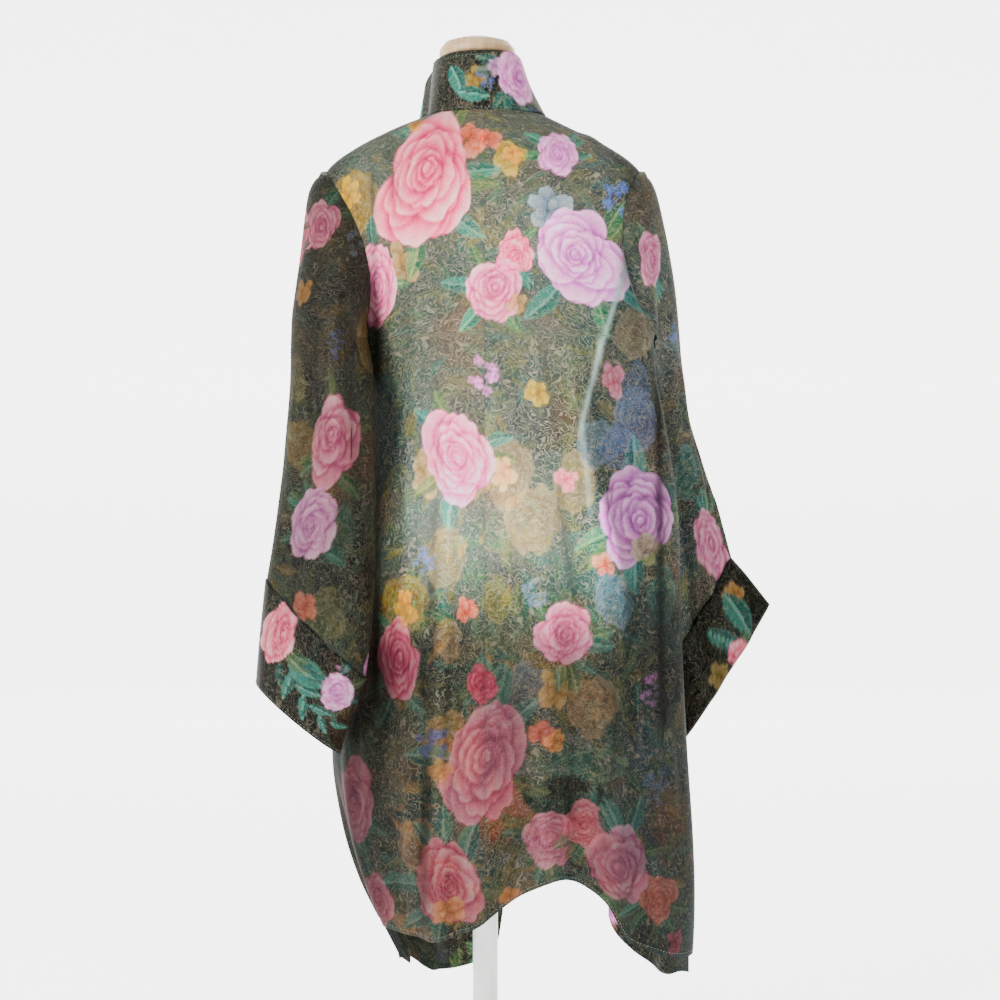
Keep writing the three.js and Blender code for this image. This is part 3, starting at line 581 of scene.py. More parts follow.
def spray(cloth, u, v, width, height, angle, palette, seed):
    """Leaves in pairs along a bent stem."""
    rng = np.random.default_rng(seed)
    curve = rng.uniform(-30, 30)
    for i in range(7):
        t = i / 6
        a = angle + curve * (t - 0.5)
        side = 1 if i % 2 else -1
        tilt = a + side * (48 - 30 * t)
        size = height * (1.1 - 0.5 * t)
        pu, pv = (start + width * (2 * t - 1) * way(math.radians(a)) + size * 0.8 * way(math.radians(tilt))
                  for start, way in ((u, math.cos), (v, math.sin)))
        leaf(cloth, pu, pv, size, size * 0.36, tilt, palette, seed + i)


def cluster(cloth, u, v, width, height, angle, palette, seed):
    """A bunch of small round florets."""
    rng = np.random.default_rng(seed)
    for _ in range(14):
        a, d = rng.uniform(0, 6.28), math.sqrt(rng.uniform(0, 1))
        du, dv = d * width * 0.8 * math.cos(a), d * height * 0.8 * math.sin(a)
        size = rng.uniform(0.2, 0.32) * min(width, height)
        bloom(cloth, u + du, v + dv, size, size, rng.uniform(0, 360), palette, int(rng.integers(1, 9999)))


MOTIFS = {"rose": rose, "bloom": bloom, "leaf": leaf, "spray": spray, "cluster": cluster}
LEAF_AREA = 330  # one small leaf of the ground for so many square millimetres


def make_ground(cloth, seed):
    """Patchy dark ground with fine leaves scattered all over it."""
    rng = np.random.default_rng(seed)
    u, v = cloth.u, cloth.v
    px, py = to_image(cloth.p)
    right = smoothstep(px + 30 * wobble(u, v, seed + 5, 30), 520, 640)
    brown = smoothstep(py, 560, 760) * (1 - 0.7 * right)
    green, deep, olive, blue, teal, tan = hexes("465a50 1c2826 6c5e46 38545e 23504a 8a5038")
    cloth.rgb = deep
    for colour, extra_seed, scale, low, high, weight in (
            (green, 0, 26, -0.9, 0.9, 1.0), (olive, 3, 17, 0.1, 1.1, 0.55), (blue, 7, 34, 0.2, 1.2, 0.6),
            (teal, 13, 20, -0.3, 0.8, mix(0.45, 0.8, right)), (tan, 9, 22, 0.1, 1.1, mix(0.5, 1.0, brown))):
        cloth.tint(smoothstep(wobble(u, v, seed + extra_seed, scale), low, high) * weight, colour)
    low_u, high_u, low_v, high_v = u.min(), u.max(), v.min(), v.max()
    for _ in range(int((high_u - low_u) * (high_v - low_v) / LEAF_AREA)):
        size = rng.uniform(7, 22)
        palette = rng.choice(["olive", "moss", "green", "teal", "ochre", "olive", "moss"])
        leaf(cloth, rng.uniform(low_u, high_u), rng.uniform(low_v, high_v), size,
             size * rng.uniform(0.26, 0.42), rng.uniform(0, 360), palette, int(rng.integers(1, 9999)),
             rng.uniform(0.25, 0.6))
    cloth.rgb *= 0.8
    # quieter colours over the shoulders and back
    cloth.tint(0.4 * (1 - smoothstep(py, 420, 640)), cloth.rgb.mean() * np.array((1.12, 1.1, 1.02)))


def scatter(cloth, seed, flowers, roses):
    """Flowers at random, for the sides that the picture doesn't show."""
    rng = np.random.default_rng(seed)
    low_u, high_u, low_v, high_v = cloth.u.min(), cloth.u.max(), cloth.v.min(), cloth.v.max()
    if cloth.name.startswith("front"):
        high_v -= 80
    for i in range(roses + flowers):
        big = i < roses
        size = rng.uniform(32, 52) if big else rng.uniform(9, 20)
        u, v = rng.uniform(low_u, high_u), rng.uniform(low_v, high_v)
        row = int(np.argmin(np.abs(cloth.v[:, 0] - v)))
        is_shown = cloth.n[row, int(np.argmin(np.abs(cloth.u[row] - u)))][1] > 0.2
        kind = rose if big else (bloom, bloom, rose, cluster, spray)[int(rng.integers(0, 5))]
        names = ("rose lilac violet mauve" if big else "teal green moss" if kind is spray
                 else "coral orange blue ochre peach crimson lilac teal").split()
        shape = (size, size * rng.uniform(0.75, 1.15), rng.uniform(0, 360), str(rng.choice(names)),
                 int(rng.integers(1, 9999)))
        if not is_shown:
            kind(cloth, u, v, *shape)


# The pieces of cloth
def band_edge(side, z):
    sign = 1 if side == "left" else -1
    return front_angle(sign * between(FRONT_EDGE, "z", z, side), z)


# Small creases of the back, in the picture's pixels: two ends, width, how far out
CREASES = numbers("""
    434 496 432 563 9 -2.6, 432 563 423 626 9 -3.0, 423 626 424 723 8 -3.4, 424 723 424 960 8 -3.4,
    443 560 441 940 12 2.2, 603 660 603 820 8 2.4, 612 640 614 830 7 -2.0, 637 640 637 780 8 2.2,
    646 600 647 780 6 -1.6, 532 322 536 440 7 1.8, 548 330 556 450 7 -1.8, 563 322 578 452 8 1.8,
    586 330 600 440 7 -1.4, 410 430 404 600 10 1.8, 450 420 452 620 11 1.8, 432 410 436 500 7 -1.6,
    500 440 512 640 12 1.4, 485 400 482 470 6 -1.6, 560 450 578 640 9 -2.0, 590 470 604 650 9 1.8,
    540 470 550 700 12 1.6, 400 250 408 380 12 -1.6, 470 240 466 360 16 1.4, 520 190 530 320 14 -1.2,
    618 220 640 330 12 -1.8, 640 240 652 360 9 1.6, 585 120 612 190 14 1.4, 390 130 402 210 14 -1.4,
    362 170 384 300 10 1.4, 540 700 546 880 12 1.6, 516 640 520 900 10 -1.8, 570 760 574 900 9 -1.8,
    655 820 656 940 8 1.6, 380 620 378 860 10 -1.8, 362 700 366 850 8 1.4, 405 760 404 920 8 1.4,
    320 260 312 480 10 -1.8, 338 250 334 500 9 1.6, 352 300 356 620 8 -1.6, 300 330 290 520 8 1.4,
    306 500 286 640 9 -1.4, 330 560 322 690 8 1.4, 690 330 706 480 8 -1.6, 672 300 680 420 7 1.4,
    712 470 736 590 9 1.4, 700 480 716 600 7 -1.4, 668 700 672 830 7 1.4, 626 560 634 650 8 -1.6
""")


CREASE_DEPTH = 1.6


def crease(p, n):
    """Points moved along their normals where a small crease runs over the back, and how far."""
    px, py = to_image(p)
    out = np.zeros(px.shape)
    for x0, y0, x1, y1, width, size in CREASES:
        length = math.hypot(x1 - x0, y1 - y0)
        ax, ay = (x1 - x0) / length, (y1 - y0) / length
        t = (px - x0) * ax + (py - y0) * ay
        bend = 3.0 * np.sin(t / 37 + x0)
        away = (px - x0) * ay - (py - y0) * ax + bend
        end = smoothstep(t, 0, 0.3 * length) * smoothstep(length - t, 0, 0.3 * length)
        out += CREASE_DEPTH * size * ridge(away, width) * end
    out = np.where(n[..., 1] > 0.1, out, 0)
    return p + n * out[..., None], out


def armhole(side, sign):
    """The edge of a panel along a side seam and its armhole, as angles."""
    return lambda z: side_seam(side, z) + sign * armhole_half(z)


grids = {
    "back_left": panel(lambda z: 0 * z, armhole("left", -1), 270, BACK_HEM, STEP),
    "back_right": panel(armhole("right", 1), lambda z: 360 + 0 * z, 310, BACK_HEM, STEP * 1.03),
    "front_left": panel(armhole("left", 1), lambda z: band_edge("left", z), 180, FRONT_HEM, STEP * 1.6),
    "front_right": panel(lambda z: band_edge("right", z), armhole("right", -1), 120, FRONT_HEM, STEP * 1.6),
    "sleeve_left": sleeve("left", STEP),
    "sleeve_right": sleeve("right", STEP)[:, ::-1],
    "cuff_left": cuff("left", STEP * 1.2),
    "cuff_right": cuff("right", STEP * 1.2)[:, ::-1],
    "collar_band": band(STEP * 1.3)[:, ::-1],
}
BACKS = ("back_left", "back_right")
SATIN = ("collar_band", "cuff_left", "cuff_right")
cloths = {}
for number, (name, points) in enumerate(grids.items()):
    is_ring = name.startswith("cuff")
    n = normals(points, is_ring)
    points = points + n * (SATIN_LIFT if name in SATIN else SHEER_LIFT)
    relief = np.zeros(points.shape[:2])
    if name.startswith(("back", "sleeve")):
        points, relief = crease(points, n)
    cloths[name] = Cloth(name, points, relief, is_ring)
    make_ground(cloths[name], 11 + number)
    if name in SATIN:
        cloths[name].rgb *= 0.5

# The picture's flowers: kind, place and half size in its pixels, turn if any, colours.
# Only their rough place, size and colour follow the picture.
FLOWERS = """
    rose 505 470 24 30 tan, rose 400 605 26 28 ochre, rose 448 752 26 40 ochre, rose 535 520 30 36 tan,
    rose 350 198 24 34 ochre, rose 372 340 20 34 ochre, bloom 398 270 20 26 tan, rose 445 552 24 30 tan,
    rose 600 440 24 28 grey, bloom 552 205 22 26 grey, rose 640 420 24 30 blue, bloom 470 135 18 22 coral,
    bloom 512 150 20 20 ochre, rose 620 600 22 30 grey, rose 520 690 20 28 grey, bloom 420 470 20 28 tan,
    rose 590 700 24 30 tan, rose 450 640 16 26 tan, rose 640 330 24 30 tan, rose 650 900 22 26 coral,
    rose 372 900 18 30 mauve, rose 410 850 20 26 tan, rose 668 600 16 30 teal, bloom 560 690 18 22 ochre,
    rose 300 450 16 30 ochre, rose 345 540 16 36 teal, rose 330 620 22 30 olive, rose 290 380 14 26 olive,
    rose 518 252 18 22 rose, rose 470 480 16 20 tan, rose 500 600 18 24 olive, rose 690 470 14 30 teal,
    rose 588 765 30 18 teal, leaf 572 798 40 22 dark, leaf 556 800 28 16 10 dark, rose 424 176 44 66 14 rose,
    rose 590 262 52 46 lilac, rose 495 285 27 30 20 mauve, rose 372 285 22 44 10 mauve,
    rose 455 452 33 44 -10 mauve, rose 640 515 37 46 8 violet, bloom 648 545 18 16 8 olive,
    rose 580 480 20 26 tan, bloom 565 482 13 14 rose, rose 392 665 25 46 rose, rose 568 638 27 32 mauve,
    rose 485 770 42 66 4 mauve, rose 450 880 32 44 rose, rose 545 845 25 27 mauve, rose 585 828 20 24 rose,
    rose 628 862 32 38 mauve, rose 327 440 22 46 6 mauve, rose 308 530 22 32 8 lilac,
    rose 715 545 20 40 -18 mauve, rose 560 150 20 24 lilac, rose 350 800 22 40 mauve, rose 395 930 18 20 tan,
    rose 318 220 18 26 mauve, rose 655 260 16 30 10 mauve, bloom 490 135 13 13 coral,
    bloom 515 150 12 12 30 orange, bloom 345 192 15 18 10 ochre, cluster 360 238 14 20 grey,
    cluster 622 195 18 20 blue, cluster 487 378 18 22 lilac, bloom 505 470 14 18 peach,
    bloom 617 385 13 18 rose, rose 642 382 16 24 navy, rose 622 448 20 22 navy, bloom 400 605 15 18 orange,
    bloom 460 606 13 15 coral, rose 488 682 13 17 crimson, bloom 538 730 13 14 coral,
    bloom 560 744 12 12 20 orange, cluster 430 745 16 20 blue, bloom 445 775 13 14 ochre,
    cluster 660 790 14 22 grey, bloom 680 945 12 14 crimson, bloom 452 915 17 15 ochre,
    bloom 412 120 12 12 orange, cluster 530 105 13 14 blue, bloom 520 300 10 12 tan,
    cluster 420 560 12 16 blue, bloom 540 395 12 15 ochre, bloom 300 290 12 18 orange,
    cluster 335 340 10 20 blue, bloom 300 610 12 15 coral, cluster 345 680 12 18 lilac,
    bloom 700 380 10 14 coral, cluster 675 340 9 18 blue, bloom 735 590 12 14 orange,
    bloom 605 560 12 14 coral, cluster 530 590 13 16 grey, bloom 515 900 12 13 orange,
    cluster 655 690 12 18 lilac, spray 304 700 34 15 60 teal, leaf 312 672 22 12 40 teal,
    rose 276 632 20 36 20 rose, rose 340 690 16 22 lilac, leaf 738 612 26 13 60 teal,
    leaf 722 640 20 10 20 teal, rose 742 654 14 16 rose, bloom 716 676 15 15 ochre, bloom 470 75 14 14 ochre,
    cluster 492 72 15 14 blue, rose 520 76 24 28 10 lilac, leaf 452 80 18 9 70 teal, leaf 470 92 16 8 10 teal,
    bloom 496 62 9 10 lilac
"""


def place(x, y):
    """The piece, point and normal that show at a place in the picture."""
    best = None
    for cloth in cloths.values():
        px, py = to_image(cloth.p)
        away = np.hypot(px - x, py - y) + np.where(cloth.n[..., 1] > 0.05, 0, 1e4)
        near = away < 5
        if near.any():
            index = np.unravel_index(np.argmax(np.where(near, cloth.p[..., 1], -1e9)), away.shape)
            score = -cloth.p[index][1]
        else:
            index = np.unravel_index(np.argmin(away), away.shape)
            score = away[index] * 100
        if best is None or score < best[0]:
            best = (score, cloth, cloth.p[index], cloth.n[index])
    return best[1:]


HIDDEN = {
    # small flowers, roses
    "front_left": (26, 5), "front_right": (18, 4), "sleeve_left": (14, 3), "sleeve_right": (12, 3),
    "collar_band": (70, 16), "cuff_left": (8, 3), "cuff_right": (6, 2),
}
for name, cloth in cloths.items():
    scatter(cloth, 40 + len(name) + int(abs(cloth.p[0, 0, 0])), *HIDDEN.get(name, (10, 1)))
SOFT = ("tan", "ochre", "grey", "teal", "olive", "blue", "navy")
LEAF_COLOURS = ("teal", "green", "moss", "teal")
FLOWER_GROWTH = 1.1
ROSE_STRENGTH, LOW_ROSE_STRENGTH, SOFT_ROSE_STRENGTH = 0.85, 0.68, 0.4
LOW_ROW = 720  # the roses below this row of the picture are fainter
ROSE_LEAVES = 6
for soft in (True, False):
    for number, row in enumerate(FLOWERS.split(",")):
        kind, *measures, palette = row.split()
        if (palette in SOFT and kind == "rose") != soft:
            continue
        x, y, width, height, angle = map(float, measures + ["0"] * (5 - len(measures)))
        shown, point, normal = place(x, y)
        wide, high = FLOWER_GROWTH * MM_PER_PIXEL * width, FLOWER_GROWTH * MM_PER_PIXEL * height
        strength = {}
        if kind == "rose":
            clear = LOW_ROSE_STRENGTH if y > LOW_ROW else ROSE_STRENGTH
            strength = {"strength": SOFT_ROSE_STRENGTH if soft else clear}
        for cloth in [cloths[name] for name in BACKS] if shown.name in BACKS else [shown]:
            cloth.aim(point, normal)
            if kind == "rose" and not soft:
                rng = np.random.default_rng(500 + number)
                for _ in range(ROSE_LEAVES):
                    a = rng.uniform(0, 2 * math.pi)
                    size = rng.uniform(0.35, 0.6) * min(wide, high) + 4
                    leaf_colour = LEAF_COLOURS[int(rng.integers(0, len(LEAF_COLOURS)))]
                    leaf(cloth, 1.1 * wide * math.cos(a), 1.1 * high * math.sin(a), size, size * 0.45,
                         math.degrees(a), leaf_colour, int(rng.integers(1, 9999)), 0.6)
            MOTIFS[kind](cloth, 0.0, 0.0, wide, high, angle, palette, 100 + number, **strength)
            cloth.local = None

DARK_STRENGTH, COLOUR_STRENGTH = 1.15, 1.6
EDGE = 5.0  # turned or seamed edges are this wide and doubled
CENTRE_SEAM_REACH = 12  # the edges this near the middle of the back are narrower
for name, cloth in cloths.items():
    if cloth.ring:
        continue
    sides = np.minimum(cloth.u - cloth.u[:, :1], cloth.u[:, -1:] - cloth.u)
    if name.startswith("back"):
        sides = np.where(np.abs(cloth.p[..., 0]) < CENTRE_SEAM_REACH, 0.7 + sides, sides)
    ends = cloth.v[-1, 0] - cloth.v
    if name == "collar_band":
        ends = np.minimum(cloth.v, ends)
    cloth.thick = 1 - smoothstep(np.minimum(2.5 * sides, ends), 0.55 * EDGE, EDGE)

# The form's half widths down its height; its outline shows through the back as a paler shape, which is also
# painted into the back's print as painted light
FORM = table("z left right back front", """
    1120 38 38 38 38, 1097 39 39 39 39, 1074 45 45 45 45, 1054 59 62 54 53, 1038 102.4 96.4 66 60,
    1016 145 140 80 72, 994 165 160 90 83, 961 164 161 97 92, 919 143 156 103 106, 887 132 152 105 114,
    840 122 142 103 119, 798 114 131 96 112, 755 104 118 87 99, 710 96 107 82 90, 655 104 120 88 87,
    600 120 138 99 89, 550 133 150 107 93, 500 139 156 110 95, 450 138 154 106 94, 428 134 150 103 92
""")
# How much of what lies behind the cloth it hides, and how bright its print is painted: painted light and
# shade
FREE, ON_FORM, ON_HIPS, SLEEVE_COVER = 0.995, 0.85, 0.72, 0.96
PAINTED_SHADE = {
    # ground, flowers: how bright each is left, as painted shade
    "sleeve_left": (0.22, 0.32), "sleeve_right": (0.5, 0.55),
    "front_left": (0.22, 0.32), "front_right": (0.22, 0.32),
    "cuff_left": (0.2, 0.68), "cuff_right": (0.2, 0.68), "collar_band": (0.42, 1.0),
}
# Painted narrow shadows beside the sleeves and along two creases, and a painted highlight on the pale edge of
# the form's cover, in the picture's pixels:
# two ends, half width, change of brightness
STREAKS = numbers("""
    377 330 376 700 5 -0.75, 658 330 662 720 5 -0.75, 372 180 377 330 4 -0.5, 652 180 658 330 4 -0.5,
    436 500 424 960 4 -0.35, 603 640 603 840 4 -0.25, 628 262 600 350 3 0.8, 600 350 582 424 3 0.8,
    582 424 590 510 3 0.3
""")
FORM_EDGE_HIGHLIGHT = hexes("b4cac4")[0]
for name, cloth in cloths.items():
    cloth.cover = np.full(cloth.p.shape[:2], SLEEVE_COVER if name.startswith("sleeve") else 0.97)
    cloth.backed = mix(*PAINTED_SHADE.get(name, (1, 1)), cloth.flower)
    px, py = to_image(cloth.p)
    if name.startswith("front"):
        cloth.cover = mix(0.975, 0.995, smoothstep(260 - cloth.p[..., 2], 0, 60))
    warm = smoothstep(py, 580, 720) * (1 - 0.8 * smoothstep(px, 590, 650)) * name.startswith("back")
    cool = smoothstep(px, 570, 620) * (1 - warm) * name.startswith(("back", "sleeve"))
    around = 1 - 0.85 * cloth.flower
    for weight, tint in ((warm * cloth.flower, (0.98, 0.96, 1.08)), (warm * around, (1.04, 0.86, 0.80)),
                         (cool * around, (0.93, 0.98, 1.06)),
                         ((name == "sleeve_left") * around, (1.03, 0.94, 0.88))):
        cloth.rgb *= 1 + weight[..., None] * (np.array(tint) - 1)
    if name.startswith("back"):
        x, y, z = np.moveaxis(cloth.p, -1, 0)
        seen_x = CAMERA_X + (x - CAMERA_X) * CAMERA_Y / (CAMERA_Y - y)
        seen_z = CAMERA_Z + (z - CAMERA_Z) * CAMERA_Y / (CAMERA_Y - y)
        form_at = columns_at(FORM, np.clip(seen_z, 430, 1060))
        half = np.where(x > 0, form_at["left"], form_at["right"])
        close = smoothstep(half - np.abs(seen_x), -6, 8) * smoothstep(z, 432, 585)
        # Painted shade away from the form, darkest at the sides and low down; painted light over the form,
        # strongest over the hips
        hips = np.exp(-((z - 590) / 110) ** 2)
        low = mix(0.11, 0.36, smoothstep(190 - np.abs(x + 20), 20, 130))
        low = low * mix(1.0, 1.65, smoothstep(px, 590, 650))
        low = mix(low * (1 - 0.38 * cloth.flower), 0.5, smoothstep(z, 480, 600))
        cloth.cover = mix(FREE, mix(ON_FORM, ON_HIPS, hips), close)
        cloth.backed = mix(low, mix(0.95, 1.85, hips) * (1 + 0.15 * cloth.flower), close)
        # A painted pool of light over the upper back
        cloth.backed *= 1 + 0.5 * np.exp(-((px - 505) / 60) ** 2 - ((py - 215) / 55) ** 2)
        # Darkening lines paint shadow; brightening lines paint the highlight's colour
        for x0, y0, x1, y1, width, change in STREAKS:
            t = np.clip((py - y0) / (y1 - y0), 0, 1)
            reach = smoothstep(py, y0 - 25, y0 + 5) * smoothstep(y1 + 25 - py, 0, 30)
            line = np.exp(-((px - mix(x0, x1, t)) / width) ** 2) * reach
            cloth.backed *= 1 + min(change, 0) * line
            cloth.tint(max(change, 0) * line, FORM_EDGE_HIGHLIGHT)
    # Painted shade in the creases' hollows and painted light on their ridges
    cloth.backed *= np.clip(1 + 0.09 * cloth.relief, 0.6, 1.4)


# Meshes
def new_mesh(name, vertices, faces, material, smooth=True):
    mesh = bpy.data.meshes.new(name)
    mesh.from_pydata([tuple(v) for v in vertices], [], [tuple(f) for f in faces])
    mesh.update()
    obj = bpy.data.objects.new(name, mesh)
    bpy.context.collection.objects.link(obj)
    mesh.materials.append(material)
    if smooth:
        mesh.polygons.foreach_set("use_smooth", [True] * len(mesh.polygons))
    return obj


def grid_faces(rows, columns, ring=False):
    """The four-sided faces between a grid's points."""
    last = columns if ring else columns - 1
    r, c = np.meshgrid(np.arange(rows - 1), np.arange(last), indexing="ij")
    r, c, d = r.ravel(), c.ravel(), (c.ravel() + 1) % columns
    return np.stack([r * columns + c, (r + 1) * columns + c, (r + 1) * columns + d, r * columns + d], -1)


def to_linear(c):
    """Screen colours as linear ones."""
    c = np.clip(c, 0, 1)
    return np.where(c <= 0.04045, c / 12.92, ((c + 0.055) / 1.055) ** 2.4)


def strengthened(c, amount):
    """Colours moved away from grey."""
    grey = (c @ np.array([0.21, 0.72, 0.07]))[..., None]
    return np.clip(grey + (c - grey) * amount, 0.002, 1)


def cloth_object(cloth, material):
    """A cloth as an object, with its print and flat coordinates."""
    rows, columns = cloth.p.shape[:2]
    faces = grid_faces(rows, columns, cloth.ring)
    obj = new_mesh("cloth_" + cloth.name, cloth.p.reshape(-1, 3) * MM, faces, material)
    mesh = obj.data
    # The print's colours are multiplied by the painted light and shade
    strength = mix(DARK_STRENGTH, COLOUR_STRENGTH, smoothstep(cloth.backed, 0.4, 1.0))
    painted = strengthened(to_linear(cloth.rgb) * cloth.backed[..., None], strength[..., None])
    painted = np.concatenate([painted, cloth.flower[..., None]], -1).reshape(-1)
    layer = mesh.color_attributes.new("print", "FLOAT_COLOR", "POINT")
    layer.data.foreach_set("color", painted.astype(np.float32))
    for label, values in (("thick", cloth.thick), ("cover", cloth.cover), ("backed", cloth.backed)):
        layer = mesh.attributes.new(label, "FLOAT", "POINT")
        layer.data.foreach_set("value", values.reshape(-1).astype(np.float32))
    flat = mesh.uv_layers.new(name="flat")
    loops = np.empty(len(mesh.loops), dtype=np.int32)
    mesh.loops.foreach_get("vertex_index", loops)
    places = np.stack([cloth.u, cloth.v], -1).reshape(-1, 2)[loops] * MM
    flat.data.foreach_set("uv", places.reshape(-1).astype(np.float32))
    return obj


# Materials
class Nodes:
    """A material's node tree, built by short calls."""

    def __init__(self, name):
        self.material = bpy.data.materials.new(name)
        self.material.use_nodes = True
        self.tree = self.material.node_tree
        self.shader = self.tree.nodes["Principled BSDF"]

    def add(self, kind, inputs=(), **settings):
        node = self.tree.nodes.new("ShaderNode" + kind)
        for key, value in settings.items():
            setattr(node, key, value)
        for key, value in dict(inputs).items():
            self.put(node.inputs[key], value)
        return node

    def put(self, socket, value):
        if isinstance(value, bpy.types.NodeSocket):
            self.tree.links.new(value, socket)
        else:
            socket.default_value = value

    def math(self, operation, a, b=0.0, clamp=False):
        node = self.add("Math", {0: a, 1: b}, operation=operation, use_clamp=clamp)
        return node.outputs[0]

    def span(self, value, low, high, out_low=0.0, out_high=1.0):
        inputs = {"Value": value, "From Min": low, "From Max": high, "To Min": out_low, "To Max": out_high}
        return self.add("MapRange", inputs, interpolation_type="SMOOTHSTEP").outputs["Result"]

    def noise(self, vector, scale, detail=2.0):
        return self.add("TexNoise", {"Vector": vector, "Scale": scale, "Detail": detail})

    def blend(self, kind, factor, a, b):
        node = self.add("Mix", {}, data_type="RGBA", blend_type=kind)
        self.put(node.inputs[0], factor)
        self.put(node.inputs[6], a)
        self.put(node.inputs[7], b)
        return node.outputs[2]

    def grey(self, value):
        return self.add("CombineColor", {"Red": value, "Green": value, "Blue": value}).outputs[0]

    def bump(self, height, strength, distance):
        inputs = {"Height": height, "Strength": strength, "Distance": distance}
        return self.add("Bump", inputs).outputs["Normal"]

    def surface(self, **values):
        for key, value in values.items():
            self.put(self.shader.inputs[key.replace("_", " ")], value)
        return self.material


def printed(name, is_sheer, roughness, shine, specular):
    """Printed cloth: painted colours with fine gold line work and a crepe grain between them."""
    m = Nodes(name)
    flat = m.add("UVMap", uv_map="flat").outputs[0]
    colour = m.add("Attribute", attribute_name="print")
    thick, cover, backed = (m.add("Attribute", attribute_name=word).outputs["Fac"]
                            for word in ("thick", "cover", "backed"))
    moved = m.noise(flat, 60.0).outputs["Color"]
    for operation, inputs in (("SUBTRACT", {1: (0.5, 0.5, 0.5)}), ("SCALE", {"Scale": 0.03}),
                              ("ADD", {1: flat})):
        moved = m.add("VectorMath", {0: moved, **inputs}, operation=operation).outputs[0]
    ground = m.math("SUBTRACT", 1.0, colour.outputs["Alpha"], True)
    lines = []
    for scale, width in ((105.0, 0.06), (190.0, 0.06)):
        cells = m.add("TexVoronoi", {"Vector": moved, "Scale": scale}, feature="DISTANCE_TO_EDGE")
        lines.append(m.span(cells.outputs["Distance"], 0.0, width, 1.0, 0.0))
    patches = m.span(m.noise(flat, 38.0).outputs["Fac"], 0.42, 0.62)
    other = m.math("SUBTRACT", 1.0, patches)
    line = m.math("ADD", m.math("MULTIPLY", lines[0], patches), m.math("MULTIPLY", lines[1], other), True)
    line = m.math("MULTIPLY", line, m.math("MULTIPLY", ground, 0.42))
    contour = m.math("PINGPONG", m.math("MULTIPLY", m.noise(moved, 46.0, 1.0).outputs["Fac"], 8.0), 0.5)
    line = m.math("MAXIMUM", line, m.math("MULTIPLY", m.span(contour, 0.0, 0.13, 0.48, 0.0), ground))
    # The gold lines take the painted light and shade too
    gold = m.blend("MULTIPLY", 1.0, (0.42, 0.35, 0.23, 1), m.grey(backed))
    gold = m.blend("MIX", line, colour.outputs["Color"], gold)
    speck = m.noise(flat, 420.0, 3.0).outputs["Fac"]
    grain = m.span(speck, 0.3, 0.7, 0.88, 1.12)
    tinted = m.blend("MULTIPLY", 1.0, gold, m.grey(grain))
    final = m.blend("MIX", m.math("MULTIPLY", thick, 0.3), tinted, (0.02, 0.03, 0.03, 1))
    bump = m.bump(m.noise(flat, 700.0, 2.0).outputs["Fac"], shine, 0.0004)
    if is_sheer:
        see = m.math("ADD", m.math("MULTIPLY", thick, 0.14), cover, True)
        see = m.math("ADD", see, m.math("MULTIPLY", colour.outputs["Alpha"], 0.08), True)
        m.surface(Alpha=see)
    return m.surface(Base_Color=final, Roughness=roughness, Specular_IOR_Level=specular, Normal=bump)


def plain(name, colour, other, roughness, scale, stretch=(1, 1, 1)):
    """A plain finish with soft variation."""
    m = Nodes(name)
    place_ = m.add("TexCoord").outputs["Object"]
    vector = m.add("Mapping", {"Vector": place_, "Scale": stretch}).outputs[0]
    noise = m.noise(vector, scale, 4.0).outputs["Fac"]
    mixed = m.blend("MIX", m.span(noise, 0.3, 0.7), (*colour, 1), (*other, 1))
    rough = m.span(noise, 0.2, 0.8, roughness - 0.06, roughness + 0.06)
    return m.surface(Base_Color=mixed, Roughness=rough, Normal=m.bump(noise, 0.12, 0.0005))


sheer = printed("sheer_print", True, 0.7, 0.25, 0.08)
satin = printed("satin_print", False, 0.5, 0.06, 0.06)
cover = plain("form_cover", (0.80, 0.77, 0.71), (0.72, 0.68, 0.62), 0.8, 60.0)
wood = plain("pale_wood", (0.62, 0.42, 0.22), (0.46, 0.29, 0.14), 0.4, 30.0, stretch=(6, 1, 1))
paint = plain("white_paint", (0.80, 0.80, 0.78), (0.76, 0.76, 0.74), 0.35, 120.0)
thread = plain("thread", (0.12, 0.17, 0.13), (0.07, 0.10, 0.08), 0.7, 300.0)
BACKDROP_GLOW = 3.6  # bright enough to look nearly white in the render
backdrop = Nodes("backdrop")
backdrop.surface(Base_Color=(0.9, 0.9, 0.9, 1), Roughness=0.9, Emission_Color=(1, 1, 1, 1),
                 Emission_Strength=BACKDROP_GLOW)

# The pieces
for name, cloth in cloths.items():
    is_satin = name in SATIN
    piece = cloth_object(cloth, satin if is_satin else sheer)
    if is_satin:
        solid = piece.modifiers.new("thickness", "SOLIDIFY")
        solid.thickness = SATIN_THICKNESS * MM
        solid.offset = 0
    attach(piece, "root")
    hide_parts(name)

# The form's cover, smooth
NECK_SHIFT = table("z x", """
    1120 9, 1097 8, 1074 5, 1054 0, 1000 0
""")
FORM_COLUMNS, FORM_ROWS, FORM_INSET = 96, 140, 0.5
form_z = np.linspace(FORM["z"][0], FORM["z"][-1], FORM_ROWS)
turn = np.linspace(0, 2 * math.pi, FORM_COLUMNS, endpoint=False)[None, :]
f = {name: value[:, None] - FORM_INSET for name, value in columns_at(FORM, form_z).items()}
form_x = np.sin(turn) * np.where(np.sin(turn) >= 0, f["left"], f["right"])
form_x += between(NECK_SHIFT, "z", form_z, "x")[:, None]
form_y = np.cos(turn) * np.where(np.cos(turn) >= 0, f["back"], f["front"])
form_points = np.stack([form_x, form_y, form_z[:, None] * np.ones_like(form_x)], -1)
form_faces = [tuple(q) for q in grid_faces(len(form_z), FORM_COLUMNS, True)[:, ::-1]]
form_faces.append(tuple(range(FORM_COLUMNS))[::-1])
form_faces.append(tuple(range((len(form_z) - 1) * FORM_COLUMNS, len(form_z) * FORM_COLUMNS)))
form = new_mesh("form_cover", form_points.reshape(-1, 3) * MM, form_faces, cover)
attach(form, "root")
